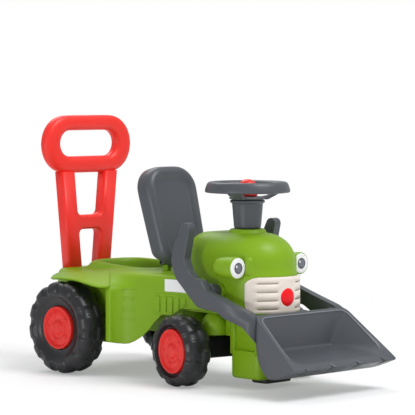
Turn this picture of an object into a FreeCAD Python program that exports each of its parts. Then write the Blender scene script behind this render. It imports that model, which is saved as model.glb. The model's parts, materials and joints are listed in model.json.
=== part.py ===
import FreeCAD, Part
import math
import os

# Ride-on tractor with front loader. Millimetres; X forward, Y left, Z up, floor at Z zero.
# Lengths along X are measured from the rear axle, and the finished pieces are centred at the end.

# wheels and axles
rear_wheel_radius = 85.0
rear_wheel_width = 56.0
rear_half_track = 138.0
front_wheel_radius = 63.5
front_wheel_width = 52.0
front_half_track = 124.0
wheelbase = 303.5
tyre_wall = 3.5
tyre_shoulder = 19.0
lug_height = 4.0
lug_side = 1.5
rear_lug_drop = 25.0
front_lug_drop = 18.0
lug_gap = 3.0
lug_edge_round = 1.0
rear_lugs = 12
front_lugs = 10
lug_share = 0.68
sidewall_ring = 13.0
hub_recess = 11.0
back_opening = 16.0
sleeve_wall = 6.0
axle_radius = 5.0
axle_end = 4.0
cap_radius = 9.0
cap_length = 4.7
hubcap_radius = 40.0
hubcap_inset = 3.0
hubcap_skin = 2.4
hubcap_bead = 1.6
hubcap_bead_width = 4.0
hubcap_boss_radius = 13.0
hubcap_stud_radius = 4.5
hubcap_stud_circle = 25.0
hubcap_studs = 5

# clearances
running_gap = 0.05
free_gap = 0.4
overrun = 20.0

# rear body
shell = 4.0
deck_rise = 52.0
body_rear = -121.0
rear_half = 66.0
flank_start = -60.0
flank_half = 95.0
flank_end = 170.0
cowl_front = 305.0
cowl_half = 82.0
rear_corner = 24.0
flank_corner = 36.0
cowl_corner = 15.0
deck_round = 12.0
tail_height = 112.0
tail_foot = -84.0
belly_height = 58.0
arch_foot = 132.0
arch_knee = 188.0
arch_knee_height = 96.0
arch_top = 206.0
arch_clearance = 6.0
arch_round = 12.0
wing_rear = 97.0
wing_thickness = 16.0
wing_half = 131.0
wing_drop = 15.0
wing_blend = 45.0
wing_flare_share = 0.55
wing_round = 5.0
boss_radius = 14.0
vent_start = 186.0
vent_length = 86.0
vent_drop = 35.0
vent_height = 38.0
vent_lift = 3.0
vent_rib = 7.0
vent_ribs = 5
label_start = 214.0
label_length = 62.0
label_drop = 1.0
label_height = 22.0
label_film = 0.6

# storage bin and its rim
bin_rear = -20.0
bin_front = 135.0
bin_half = 60.0
bin_corner = 46.0
bin_floor = 100.0
bin_wall = 3.0
rim_rise = 17.0
rim_side = 15.0
rim_rear = 34.0
rim_front = 9.0
rim_round = 5.0

# seat lid
hinge_x = 154.0
hinge_rise = 5.6
hinge_pin_radius = 2.5
hinge_eye = 5.5
hinge_lug = 10.0
hinge_spread = 24.0
lid_length = 177.0
lid_front_gap = 7.0
lid_rear_half = 66.0
lid_front_half = 53.0
lid_corner = 44.0
lid_rise = 33.0
lid_round = 15.0
lid_wall = 3.5
lid_dish = 7.0
lid_dish_radius = 420.0
lid_open_angle = 74.0

# mudguards
guard_thickness = 4.0
guard_half = 151.0
guard_inner_rear = -96.0
guard_outer_rear = -38.0
guard_inner_drop = 1.0
guard_outer_rear_drop = 8.0
guard_outer_crown_drop = 9.0
guard_outer_front_drop = 18.0

# push handle
handle_x = -102.0
handle_thickness = 26.0
handle_top = 474.0
loop_bottom = 364.0
loop_half = 109.0
loop_corner = 52.0
loop_hole_half = 70.0
loop_hole_low = 396.0
loop_hole_high = 445.0
loop_hole_corner = 23.0
leg_width = 33.0
leg_top_spread = 54.0
leg_foot_spread = 33.0
leg_seat = 35.0
crossbar_low = 256.0
crossbar_high = 283.0
handle_inner_corner = 9.0
handle_round = 11.0
handle_wall = 3.5
socket_wall = 5.0
screw_radius = 2.0
screw_head_radius = 4.5
screw_head_height = 2.4
screw_length = 18.0
handle_screw_drop = 17.0

# hood
hood_rear = 226.0
hood_front = 429.0
hood_half = 71.0
hood_top = 269.0
hood_rear_corner = 48.0
hood_nose_corner = 66.0
hood_round = 46.0
collar_radius = 31.0
collar_height = 5.0
lamp_x = 387.0
lamp_spread = 78.0
lamp_rise = 16.0
lamp_radius = 20.5
lamp_length = 50.0
lamp_tail_radius = 11.0
lamp_wall = 3.0
lens_radius = 18.6
lens_thickness = 1.6
iris_radius = 10.0
iris_thickness = 0.8
dome_x = 313.0
dome_spread = 62.0
dome_radius = 24.0
dome_low = 91.0
dome_high = 131.0
pivot_boss_radius = 13.0
pivot_boss_reach = 79.0

# grille
grille_low = 137.0
grille_high = 196.0
grille_half = 69.0
grille_corner = 14.0
grille_proud = 0.8
grille_depth = 2.4
slot_rows = 4
slot_height = 3.0
slot_inner = 20.0
slot_outer = 56.0
slot_depth = 1.2
badge_radius = 16.7
badge_height = 160.0
badge_proud = 3.0

# floor pan, apron and skid
pan_thickness = 5.0
pan_rear = 216.0
pan_half = 70.0
apron_rear = 350.0
apron_front = 424.0
apron_half = 64.0
apron_low = 17.0
apron_step = 67.0
apron_corner = 14.0
apron_round = 6.0
apron_wall = 4.0
apron_panel_half = 44.0
apron_panel_margin = 10.0
apron_panel_depth = 2.0
skid_rear = 372.0
skid_front = 412.0
skid_half = 34.0
skid_depth = 9.0
pan_screw_spread = 46.0
pan_screw_rear = 236.0
pan_screw_front = 414.0
pan_screw_nose_spread = 22.0

# steering
steer_x = 332.0
steer_at_rest = -8.9
shaft_radius = 6.0
shaft_top = 337.0
bush_wall = 4.0
bush_flange = 3.0
bush_flange_height = 2.0
bush_depth = 14.0
column_low_radius = 24.0
column_high_radius = 28.0
column_height = 51.0
steer_wheel_height = 350.0
steer_rim_radius = 65.0
steer_rim_thickness = 10.0
steer_hub_radius = 34.0
steer_hub_height = 6.0
spoke_width = 24.0
spoke_thickness = 7.0
spokes = 3
horn_cup_radius = 18.0
horn_cup_height = 17.0
horn_cup_wall = 2.0
horn_button_radius = 15.6
horn_button_height = 14.0
horn_round = 7.0
horn_travel = 3.0
sleeve_radius = 9.1
sleeve_rubber = 2.2
beam_low = 48.0
beam_high = 86.0
beam_rear = 18.0
beam_front = 19.0
beam_half = 90.0
beam_round = 5.0

# loader
pivot_x = 334.0
pivot_rise = 37.0
pivot_pin_radius = 6.0
pivot_pin_root = 50.0
arm_inner = 100.0
arm_thickness = 17.0
arm_skin = 5.0
arm_reach = 127.0
arm_rise = 119.0
arm_rear_share = 0.614
arm_rear_shares = [(-0.63, 1.0), (-0.91, 0.64), (-1.0, 0.42), (-0.85, 0.17), (-0.15, -0.23)]
arm_low_shares = [(0.14, -0.26), (0.31, -0.286), (0.44, -0.361), (1.0, -0.52)]
arm_top_shares = [(1.0, -0.26), (0.93, -0.2), (0.535, -0.06), (0.09, 0.017)]
arm_front_shares = [(-0.03, 0.168), (-0.28, 0.193), (-0.46, 0.311), (-0.56, 0.462), (-0.4, 0.9),
                    (-0.38, 1.0)]
arm_corner = 13.0
arm_end_corner = 3.0
gusset_reach = 36.0
gusset_width = 34.0
gusset_low_drop = 58.0
gusset_high_drop = 36.0
bolt_share = 0.6
bolt_seat = 4.0
bolt_bite = 3.0
bucket_back = 461.0
bucket_top = 138.0
bucket_knee_height = 10.0
bucket_knee_round = 50.0
bucket_tip_x = 573.0
bucket_tip = 52.0
bucket_lip_x = 556.0
bucket_lip = 58.0
bucket_wall = 4.0
bucket_top_half = 115.0
bucket_crease_half = 64.0
bucket_crease_height = 71.0
bucket_lip_half = 131.0
bucket_edge_round = 9.0
tooth_groove = 4.0
tooth_depth = 17.0
tooth_share = 0.25
drain_height = 40.0

half_turn = 180.0
full_turn = 360.0
corner_room_share = 0.49
close_enough = 0.01
widest = 400.0

axle_height = rear_wheel_radius
front_axle_height = front_wheel_radius
arch_height = 2 * front_wheel_radius + arch_clearance
deck_height = arch_height + deck_rise
rim_height = deck_height + rim_rise
lamp_height = grille_high + lamp_rise
hinge_height = rim_height + hinge_rise
wing_top = deck_height - wing_drop
vent_high = deck_height - vent_drop
vent_low = vent_high - vent_height
label_high = deck_height - label_drop
label_low = label_high - label_height
guard_inner_height = deck_height - guard_inner_drop
guard_outer_rear_height = deck_height - guard_outer_rear_drop
guard_outer_crown_height = deck_height - guard_outer_crown_drop
guard_outer_front_height = deck_height - guard_outer_front_drop
leg_foot = deck_height - leg_seat
handle_screw_height = deck_height - handle_screw_drop
pivot_height = arch_height + pivot_rise
gusset_low = pivot_height - gusset_low_drop
gusset_high = pivot_height - gusset_high_drop
beam_hub_radius = shaft_radius + 2 * bush_wall
bucket_bolt_height = (gusset_low + gusset_high) / 2
centre_x = (bucket_tip_x + body_rear - screw_head_height) / 2


def vec(x, y, z):
    return FreeCAD.Vector(x, y, z)


def on_plane(axis, u, v, level):
    if axis == "x":
        return vec(level, u, v)
    if axis == "y":
        return vec(u, level, v)
    return vec(u, v, level)


def outline(points, axis, level):
    # closed wire of straight runs and corner arcs, each point being (u, v, corner radius)
    count = len(points)
    corners = []
    for index, (u, v, radius) in enumerate(points):
        here = vec(u, v, 0)
        before = points[index - 1]
        after = points[(index + 1) % count]
        back = vec(before[0], before[1], 0) - here
        ahead = vec(after[0], after[1], 0) - here
        half = back.getAngle(ahead) / 2
        room = min(back.Length, ahead.Length) * corner_room_share
        radius = min(radius, room * math.tan(half))
        back.normalize()
        ahead.normalize()
        if radius < close_enough or half > math.pi / 2 - close_enough:
            corners.append((here, None, here))
            continue
        run = radius / math.tan(half)
        inward = back + ahead
        inward.normalize()
        middle = here + inward * (radius / math.sin(half) - radius)
        corners.append((here + back * run, middle, here + ahead * run))
    edges = []
    for index, (start, middle, end) in enumerate(corners):
        last = corners[index - 1][2]
        start3 = on_plane(axis, start.x, start.y, level)
        last3 = on_plane(axis, last.x, last.y, level)
        if last3.distanceToPoint(start3) > close_enough:
            edges.append(Part.makeLine(last3, start3))
        if middle is not None:
            middle3 = on_plane(axis, middle.x, middle.y, level)
            end3 = on_plane(axis, end.x, end.y, level)
            edges.append(Part.Arc(start3, middle3, end3).toShape())
    return Part.Wire(edges)


def prism(points, axis, low, high, grow=0):
    face = Part.Face(outline(points, axis, low))
    if grow:
        face = face.makeOffset2D(grow)
    return face.extrude(on_plane(axis, 0, 0, high - low))


def box(x0, x1, y0, y1, z0, z1):
    return Part.makeBox(x1 - x0, y1 - y0, z1 - z0, vec(x0, y0, z0))


def rod(radius, start, axis, length):
    direction = {"x": vec(1, 0, 0), "y": vec(0, 1, 0), "z": vec(0, 0, 1)}[axis]
    return Part.makeCylinder(radius, length, start, direction)


def turned_y(points):
    # ring about the Y axis from (radius, y, corner) points
    face = Part.Face(outline(points, "z", 0))
    return face.revolve(vec(0, 0, 0), vec(0, 1, 0), full_turn)


def turned_z(points):
    # ring about the Z axis from (radius, z, corner) points
    face = Part.Face(outline(points, "y", 0))
    return face.revolve(vec(0, 0, 0), vec(0, 0, 1), full_turn)


def mirrored(shape):
    return shape.mirror(vec(0, 0, 0), vec(0, 1, 0))


def both(shape):
    return shape.fuse(mirrored(shape))


def moved(shape, x, y, z):
    copy = shape.copy()
    copy.translate(vec(x, y, z))
    return copy


def symmetric(half_points):
    # full outline from the half with positive second coordinate
    return half_points + [(u, -v, r) for u, v, r in reversed(half_points)]


def level_edges(shape, low, high):
    def inside(edge):
        return edge.BoundBox.ZMin > low - close_enough and edge.BoundBox.ZMax < high + close_enough
    return [edge for edge in shape.Edges if inside(edge)]


def rounded_top(shape, level, radius):
    return shape.makeFillet(radius, level_edges(shape, level, level))


def joined(shapes):
    return shapes[0].multiFuse(shapes[1:]).removeSplitter()


def only_solid(shape):
    return shape.Solids[0] if len(shape.Solids) == 1 else shape


# wheels: the outer face looks towards +Y

def wheel(radius, width, lugs, lug_drop):
    half = width / 2
    base = radius - lug_height
    side = half - lug_side
    ring = base - sidewall_ring
    dish = hubcap_radius + running_gap
    web = half - hub_recess
    bore = axle_radius + running_gap
    sleeve = bore + sleeve_wall
    back = base - back_opening
    section = [(back, -side, lug_edge_round), (base, -side, tyre_shoulder), (base, side, tyre_shoulder),
               (ring, side, tyre_wall), (dish, side - lug_height, tyre_wall), (dish, web, 0),
               (bore, web, 0), (bore, -half, 0), (sleeve, -half, 0), (sleeve, web - tyre_wall, tyre_wall),
               (dish + tyre_wall, web - tyre_wall, tyre_wall),
               (dish + tyre_wall, side - lug_height - tyre_wall, tyre_wall),
               (ring, side - tyre_wall, tyre_wall),
               (base - tyre_wall, side - tyre_wall, tyre_shoulder - tyre_wall),
               (base - tyre_wall, tyre_wall - side, tyre_shoulder - tyre_wall), (back, tyre_wall - side, 0)]
    root = tyre_wall / 2
    block = [(radius - lug_drop, half, 0), (radius, half, tyre_shoulder), (radius, lug_gap, lug_edge_round),
             (base - root, lug_gap, 0), (base - root, side - root, tyre_shoulder - root),
             (radius - lug_drop, side - root, 0)]
    step = full_turn / lugs
    blocks = []
    for index in range(lugs):
        for sense in (1, -1):
            points = [(r, sense * y, corner) for r, y, corner in block]
            face = Part.Face(outline(points, "z", 0))
            lug = face.revolve(vec(0, 0, 0), vec(0, 1, 0), step * lug_share)
            lug.rotate(vec(0, 0, 0), vec(0, 1, 0), step * (index + (1 - sense) / 4))
            blocks.append(lug)
    return only_solid(joined([turned_y(section)] + blocks))


def hubcap(width):
    half = width / 2
    web = half - hub_recess
    front = half - hubcap_inset
    rim = hubcap_radius - hubcap_bead_width
    under = front - hubcap_skin
    section = [(0, under, 0), (0, front, 0), (hubcap_boss_radius, front, 0),
               (hubcap_boss_radius + hubcap_bead, front - hubcap_bead, 0), (rim, front - hubcap_bead, 0),
               (rim, front, 0), (hubcap_radius, front, hubcap_bead), (hubcap_radius, web, 0),
               (rim, web, 0), (rim, under - hubcap_bead, 0),
               (cap_radius + hubcap_skin, under - hubcap_bead, 0),
               (cap_radius + hubcap_skin, under, 0)]
    shape = turned_y(section)
    for index in range(hubcap_studs):
        angle = 2 * math.pi * index / hubcap_studs
        x = hubcap_stud_circle * math.cos(angle)
        z = hubcap_stud_circle * math.sin(angle)
        start = vec(x, front - hubcap_bead - hubcap_skin / 2, z)
        shape = shape.fuse(rod(hubcap_stud_radius, start, "y", hubcap_skin / 2 + hubcap_bead))
    return only_solid(shape.removeSplitter())


def axle(half_track, width):
    reach = half_track + width / 2 - hub_recess + axle_end
    return rod(axle_radius, vec(0, -reach, 0), "y", 2 * reach)


def axle_caps(half_track, width):
    web = half_track + width / 2 - hub_recess
    cap = rod(cap_radius, vec(0, web + free_gap, 0), "y", cap_length)
    bore = rod(axle_radius, vec(0, 0, 0), "y", web + axle_end)
    return Part.makeCompound([cap.cut(bore), mirrored(cap.cut(bore))])


# rear body

def body_plan(grow=0, low=belly_height, high=deck_height):
    half = [(body_rear, rear_half, rear_corner), (flank_start, flank_half, flank_corner),
            (flank_end, flank_half, flank_corner), (cowl_front, cowl_half, cowl_corner)]
    return prism(symmetric(half), "z", low, high, grow)


def body_silhouette():
    points = [(body_rear - overrun, deck_height + overrun, 0), (body_rear - overrun, tail_height, 0),
              (body_rear, tail_height, arch_round), (tail_foot, belly_height, arch_round),
              (arch_foot, belly_height, arch_round), (arch_knee, arch_knee_height, arch_round),
              (arch_top, arch_height, arch_round), (cowl_front + overrun, arch_height, 0),
              (cowl_front + overrun, deck_height + overrun, 0)]
    return prism(points, "y", -widest, widest)


def wing(grow=0, top=wing_top):
    inner = flank_half - shell
    front = wing_rear + wing_thickness
    bend = front + (flank_end - front) * wing_flare_share
    half_bend = flank_half + (wing_half - flank_half) * (1 - wing_flare_share) / 2
    points = [(wing_rear, inner, 0), (wing_rear, wing_half, wing_round), (front, wing_half, wing_round),
              (bend, half_bend, wing_blend), (flank_end, flank_half, 0), (flank_end, inner, 0)]
    return prism(points, "z", belly_height - overrun, top, grow)


def bin_outline(grow_rear, grow_front, grow_side, low, high, corner):
    width = bin_half + grow_side
    half = [(bin_rear - grow_rear, width, corner), (bin_front + grow_front, width, corner)]
    return prism(symmetric(half), "z", low, high)


def side_window(start, length, low, high, corner, grow_out, grow_in):
    # a patch of the side wall, following its plan, between two offsets
    outer = body_plan(grow_out, low - overrun, high + overrun)
    inner = body_plan(grow_in, low - overrun, high + overrun)
    end = start + length
    frame = [(start, low, corner), (end, low, corner), (end, high, corner), (start, high, corner)]
    return outer.cut(inner).common(prism(frame, "y", 0, widest))


def vents():
    panel = side_window(vent_start, vent_length, vent_low, vent_high, vent_rib, vent_lift / 2, -shell / 2)
    pitch = (vent_length - 2 * vent_rib) / vent_ribs
    low = vent_low + vent_rib
    high = vent_high - vent_rib
    ribs = [panel]
    for index in range(vent_ribs):
        start = vent_start + vent_rib + pitch * index + (pitch - vent_rib) / 2
        ribs.append(side_window(start, vent_rib, low, high, 0, vent_lift, -shell / 2))
    tyre_path = box(arch_top, cowl_front, 0, widest, 0, 2 * front_wheel_radius + free_gap)
    return joined(ribs).cut(tyre_path)


def handle_leg(grow=0):
    half = leg_width / 2 + grow
    low = leg_foot - grow
    points = [(leg_foot_spread - half, low, 0), (leg_foot_spread + half, low, 0),
              (leg_top_spread + half, loop_bottom, 0), (leg_top_spread - half, loop_bottom, 0)]
    depth = handle_thickness / 2 + grow
    return prism(points, "x", handle_x - depth, handle_x + depth)


def handle_screw(grow=0):
    start = vec(body_rear - grow, leg_foot_spread, handle_screw_height)
    shank = rod(screw_radius + grow, start, "x", screw_length + grow)
    head_start = vec(body_rear - screw_head_height, leg_foot_spread, handle_screw_height)
    return shank if grow else shank.fuse(rod(screw_head_radius, head_start, "x", screw_head_height))


def handle_socket():
    depth = handle_thickness / 2 + socket_wall
    inner = leg_foot_spread - leg_width / 2 - socket_wall
    outer = leg_foot_spread + leg_width / 2 + 2 * socket_wall
    rear = body_rear + shell / 2
    return box(rear, handle_x + depth, inner, outer, leg_foot - socket_wall, deck_height - shell / 2)


def hinge_lug_shape(start):
    eye = rod(hinge_eye, vec(hinge_x, start, hinge_height), "y", hinge_lug)
    foot = box(hinge_x - hinge_eye, hinge_x + hinge_eye, start, start + hinge_lug,
               deck_height - shell / 2, hinge_height)
    return eye.fuse(foot)


def pan_screw_places():
    return [(pan_screw_rear, pan_screw_spread), (pan_screw_rear, -pan_screw_spread),
            (pan_screw_front, pan_screw_nose_spread), (pan_screw_front, -pan_screw_nose_spread)]


def screw_post(x, y, top):
    return rod(screw_head_radius, vec(x, y, arch_height), "z", top - arch_height)


def body_shell():
    outer = rounded_top(body_plan(), deck_height, deck_round)
    inner = body_plan(-shell, belly_height - overrun, deck_height - shell)
    wing_outer = wing().cut(body_plan(-shell, belly_height - overrun, deck_height))
    wing_pocket = wing(-shell, wing_top - shell).cut(body_plan(0, belly_height - overrun, deck_height))
    wing_shape = wing_outer.cut(wing_pocket)
    skin = outer.cut(inner).common(body_silhouette())
    wings = both(wing_shape.common(body_silhouette()))
    deck = deck_height - shell / 2
    rim = bin_outline(rim_rear, rim_front, rim_side, deck, rim_height, bin_corner + rim_side)
    rim = rounded_top(rim, rim_height, rim_round)
    tub = bin_outline(bin_wall, bin_wall, bin_wall, bin_floor - bin_wall, deck, bin_corner + bin_wall)
    hollow = bin_outline(0, 0, 0, bin_floor, rim_height + overrun, bin_corner)
    boss = rod(boss_radius, vec(0, 0, axle_height), "y", rear_half_track - rear_wheel_width / 2 - free_gap)
    boss_root = flank_half - shell - boss_radius
    inside = box(-boss_radius, boss_radius, 0, boss_root, 0, axle_height + boss_radius)
    lug = hinge_lug_shape(hinge_spread)
    posts = [screw_post(x, y, deck) for x, y in pan_screw_places()[:2]]
    paired = [both(boss.cut(inside)), both(vents()), both(handle_socket()), both(lug)]
    shape = joined([skin, wings, rim, tub] + paired + posts)
    cutters = [hollow, rod(axle_radius + running_gap, vec(0, -widest, axle_height), "y", 2 * widest),
               both(handle_leg(running_gap)), both(handle_screw(running_gap)),
               rod(hinge_pin_radius + running_gap, vec(hinge_x, -widest, hinge_height), "y", 2 * widest)]
    for x, y in pan_screw_places()[:2]:
        cutters.append(rod(screw_radius + running_gap, vec(x, y, arch_height), "z", screw_length))
    for cutter in cutters:
        shape = shape.cut(cutter)
    return shape


def cowl_half_space():
    return box(arch_top, cowl_front + overrun, -widest, widest, 0, widest)


def side_label():
    return side_window(label_start, label_length, label_low, label_high, 0, label_film, 0)


def mudguard():
    inner_y = flank_half
    front = wing_rear
    rise = guard_inner_height

    def strip(points, y):
        top = Part.BSplineCurve()
        top.interpolate([vec(x, y, z) for x, z in points])
        low = Part.BSplineCurve()
        low.interpolate([vec(x, y, z - guard_thickness) for x, z in reversed(points)])
        first = vec(points[0][0], y, points[0][1])
        last = vec(points[-1][0], y, points[-1][1])
        down = vec(0, 0, -guard_thickness)
        return Part.Wire([top.toShape(), Part.makeLine(last, last + down), low.toShape(),
                          Part.makeLine(first + down, first)])

    inner = strip([(guard_inner_rear, rise - guard_thickness), (0, rise), (front, rise)], inner_y)
    outer = strip([(guard_outer_rear, guard_outer_rear_height), (front / 2, guard_outer_crown_height),
                   (front, guard_outer_front_height)], guard_half)
    plate = Part.makeLoft([inner, outer], True, True)
    stations = (front, front + wing_thickness / 2, front + wing_thickness)
    lip_inner = strip([(x, rise) for x in stations], inner_y)
    lip_outer = strip([(x, guard_outer_front_height) for x in stations], guard_half)
    lip = Part.makeLoft([lip_inner, lip_outer], True, True)
    shape = plate.fuse(lip).removeSplitter()
    clear_wing = wing(free_gap / 4, wing_top)
    clear_wheel = rod(rear_wheel_radius + free_gap, vec(0, inner_y, axle_height), "y", widest)
    return only_solid(shape.cut(clear_wing).cut(clear_wheel))


# seat lid, drawn closed and then opened about its hinge

def lid_plan(low, high, grow=0):
    front = hinge_x - lid_front_gap
    rear = hinge_x - lid_length
    half = [(rear, lid_rear_half, lid_corner), (front, lid_front_half, lid_corner / 2)]
    return prism(symmetric(half), "z", low, high, grow)


def seat_lid():
    low = rim_height + free_gap
    top = low + lid_rise
    outer = rounded_top(lid_plan(low, top), top, lid_round)
    inner = lid_plan(low - overrun, top - lid_dish - lid_wall, -lid_wall)
    middle = hinge_x - lid_length / 2
    dish = Part.makeSphere(lid_dish_radius, vec(middle, 0, top + lid_dish_radius - lid_dish))
    shape = outer.cut(inner).cut(dish)
    front = hinge_x - lid_front_gap
    for start in (hinge_spread + hinge_lug + free_gap, -hinge_spread - 2 * hinge_lug - free_gap):
        eye = rod(hinge_eye - free_gap, vec(hinge_x, start, hinge_height), "y", hinge_lug)
        arm = box(front - lid_wall, hinge_x, start, start + hinge_lug,
                  low, hinge_height + hinge_eye - free_gap)
        shape = shape.fuse(arm).fuse(eye)
    bore = rod(hinge_pin_radius + running_gap, vec(hinge_x, -widest, hinge_height), "y", 2 * widest)
    shape = only_solid(shape.cut(bore).removeSplitter())
    shape.rotate(vec(hinge_x, 0, hinge_height), vec(0, 1, 0), lid_open_angle)
    return shape


def hinge_pin():
    reach = hinge_spread + 2 * hinge_lug + free_gap
    return rod(hinge_pin_radius, vec(hinge_x, -reach, hinge_height), "y", 2 * reach)


# push handle

def mirrored_points(points):
    return points + [(-u, v, r) for u, v, r in reversed(points)]


def rounded_faces(shape, low, high, radius):
    # rounds the edges of both broad faces of a plate that stands across X, but not its cut ends
    def on_face(edge):
        span = edge.BoundBox
        flat = span.XLength < close_enough
        return flat and span.ZMax > low + close_enough and span.ZMin < high - close_enough
    return shape.makeFillet(radius, [edge for edge in shape.Edges if on_face(edge)])


def handle_mass(inset):
    half = leg_width / 2
    slope = (leg_top_spread - leg_foot_spread) / (loop_bottom - leg_foot)
    bar = (loop_bottom + loop_hole_low) / 2
    foot = leg_foot - (overrun if inset else 0)

    def edge_at(height, side):
        return leg_foot_spread + slope * (height - leg_foot) + side * half

    ladder = mirrored_points([(edge_at(bar, 1), bar, 0), (edge_at(foot, 1), foot, 0),
                              (edge_at(foot, -1), foot, 0),
                              (edge_at(crossbar_low, -1), crossbar_low, handle_inner_corner)])
    window = mirrored_points([(edge_at(crossbar_high, -1), crossbar_high, handle_inner_corner),
                              (edge_at(loop_bottom, -1), loop_bottom, handle_inner_corner)])
    loop = mirrored_points([(loop_half, handle_top, loop_corner), (loop_half, loop_bottom, loop_corner)])
    hole = mirrored_points([(loop_hole_half, loop_hole_low, loop_hole_corner),
                            (loop_hole_half, loop_hole_high, loop_hole_corner)])
    low = handle_x - handle_thickness / 2 + inset
    high = handle_x + handle_thickness / 2 - inset
    frame = prism(ladder, "x", low, high, -inset)
    frame = frame.cut(prism(window, "x", low - overrun, high + overrun, inset))
    ring = prism(loop, "x", low, high, -inset)
    ring = ring.cut(prism(hole, "x", low - overrun, high + overrun, inset))
    frame = rounded_faces(frame, foot + inset, bar - inset, handle_round - inset)
    ring = rounded_faces(ring, 0, widest + handle_top, handle_round - inset)
    return frame.fuse(ring)


def push_handle():
    shape = handle_mass(0).cut(handle_mass(handle_wall))
    return only_solid(shape.cut(both(handle_screw(running_gap))))


# hood, lamps and grille

def hood_plan(low, high, grow=0):
    half = [(hood_rear, hood_half, hood_rear_corner), (hood_front, hood_half, hood_nose_corner)]
    return prism(symmetric(half), "z", low, high, grow)


def lamp_body():
    tail = lamp_x - lamp_length
    start = vec(tail, lamp_spread, lamp_height)
    cone_length = lamp_length / 2
    cone = Part.makeCone(lamp_tail_radius, lamp_radius, cone_length, start, vec(1, 0, 0))
    drum_start = vec(tail + cone_length, lamp_spread, lamp_height)
    return cone.fuse(rod(lamp_radius, drum_start, "x", lamp_length - cone_length))


def lamp_well():
    depth = lamp_length / 3
    return rod(lamp_radius - lamp_wall, vec(lamp_x - depth, lamp_spread, lamp_height), "x", depth)


def lamp_scoop(grow=0):
    # the hollow in the nose that leaves the lens free, or the wall around it
    start = vec(lamp_x - grow, lamp_spread, lamp_height)
    return rod(lens_radius + free_gap + grow, start, "x", hood_front - lamp_x + grow)


def grille_zone(outer_grow, inner_grow, half, low, high, corner):
    ring = hood_plan(low - overrun, high + overrun, outer_grow)
    ring = ring.cut(hood_plan(low - overrun, high + overrun, inner_grow))
    window = symmetric_z(half, low, high, corner)
    return ring.common(prism(window, "x", hood_front - hood_nose_corner, hood_front + overrun))


def symmetric_z(half, low, high, corner):
    return [(-half, low, corner), (half, low, corner), (half, high, corner), (-half, high, corner)]


def pivot_boss():
    root = hood_half - shell
    boss = rod(pivot_boss_radius, vec(pivot_x, root, pivot_height), "y", pivot_boss_reach - root)
    sleeve_start = vec(pivot_x, pivot_pin_root - shell, pivot_height)
    return boss.fuse(rod(pivot_pin_radius + shell, sleeve_start, "y", hood_half - pivot_pin_root))


def hood():
    outer = rounded_top(hood_plan(arch_height, hood_top), hood_top, hood_round)
    inner_top = hood_top - shell
    inner = rounded_top(hood_plan(arch_height, inner_top, -shell), inner_top, hood_round - shell)
    inner = inner.fuse(hood_plan(arch_height - overrun, arch_height, -shell))
    collar_base = hood_top - shell
    collar = rod(collar_radius, vec(steer_x, 0, collar_base), "z", shell + collar_height)
    lamps = both(lamp_body())
    scoops = both(lamp_scoop(shell)).common(outer)
    shape = joined([joined([outer, lamps]).cut(inner), scoops])
    sleeve = rod(shaft_radius + 2 * bush_wall, vec(steer_x, 0, hood_top - bush_depth), "z", bush_depth)
    ledge = hood_plan(arch_height, arch_height + screw_length)
    ledge = ledge.common(box(pan_screw_front - screw_head_radius, hood_front, -pan_screw_spread,
                             pan_screw_spread, arch_height, arch_height + screw_length))
    shape = joined([shape, collar, sleeve, both(pivot_boss()), ledge])
    cowl_room = box(hood_rear - overrun, cowl_front, -widest, widest, arch_height - overrun, deck_height)
    bush_hole = rod(shaft_radius + bush_wall, vec(steer_x, 0, arch_height), "z", hood_top)
    pin_hole = rod(pivot_pin_radius, vec(pivot_x, pivot_pin_root, pivot_height), "y", widest)
    recess = grille_zone(overrun, -grille_depth, grille_half, grille_low, grille_high, grille_corner)
    cutters = [cowl_room, bush_hole, both(pin_hole), recess, both(lamp_well()), both(lamp_scoop())]
    for x, y in pan_screw_places()[2:]:
        cutters.append(rod(screw_radius + running_gap, vec(x, y, arch_height), "z", screw_length))
    for cutter in cutters:
        shape = shape.cut(cutter)
    return only_solid(shape)


def grille():
    shape = grille_zone(grille_proud, -grille_depth, grille_half, grille_low, grille_high, grille_corner)
    pitch = (grille_high - grille_low) / (slot_rows + 1)
    low = grille_low - overrun
    high = grille_high + overrun
    skin = hood_plan(low, high, grille_proud + overrun).cut(hood_plan(low, high, grille_proud - slot_depth))
    for row in range(slot_rows):
        height = grille_low + pitch * (row + 1)
        bar = box(hood_front - hood_nose_corner, hood_front + overrun, slot_inner, slot_outer,
                  height - slot_height / 2, height + slot_height / 2)
        shape = shape.cut(both(skin.common(bar)))
    return only_solid(shape)


def grille_badge():
    start = vec(hood_front + grille_proud, 0, badge_height)
    disc = rod(badge_radius, start, "x", badge_proud)
    middle = start.x + badge_proud / 2
    return disc.makeFillet(badge_proud / 2, [edge for edge in disc.Edges if edge.BoundBox.XMin > middle])


def lamp_lens():
    return rod(lens_radius, vec(lamp_x, lamp_spread, lamp_height), "x", lens_thickness)


def lamp_iris():
    return rod(iris_radius, vec(lamp_x + lens_thickness, lamp_spread, lamp_height), "x", iris_thickness)


def floor_pan():
    low = arch_height - pan_thickness
    half = [(pan_rear, pan_half, hood_rear_corner), (hood_front, hood_half, hood_nose_corner)]
    shape = prism(symmetric(half), "z", low, arch_height)
    sleeve = rod(shaft_radius + 2 * bush_wall, vec(steer_x, 0, low - bush_depth), "z", bush_depth)
    shape = joined([shape, sleeve])
    shape = shape.cut(rod(shaft_radius + bush_wall, vec(steer_x, 0, low - widest), "z", 2 * widest))
    for x, y in pan_screw_places():
        shape = shape.cut(rod(screw_radius + running_gap, vec(x, y, low - overrun), "z", 2 * overrun))
    return only_solid(shape)


def front_dome():
    centre = vec(dome_x, dome_spread, dome_high - dome_radius)
    dome = rod(dome_radius, vec(dome_x, dome_spread, dome_low), "z", centre.z - dome_low)
    cap = Part.makeSphere(dome_radius, centre, vec(0, 0, 1), 0, half_turn / 2, full_turn)
    pan_side = box(dome_x - widest, dome_x + widest, -widest, hood_half,
                   arch_height - pan_thickness, dome_high + overrun)
    return only_solid(dome.fuse(cap).removeSplitter().cut(pan_side))


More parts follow.
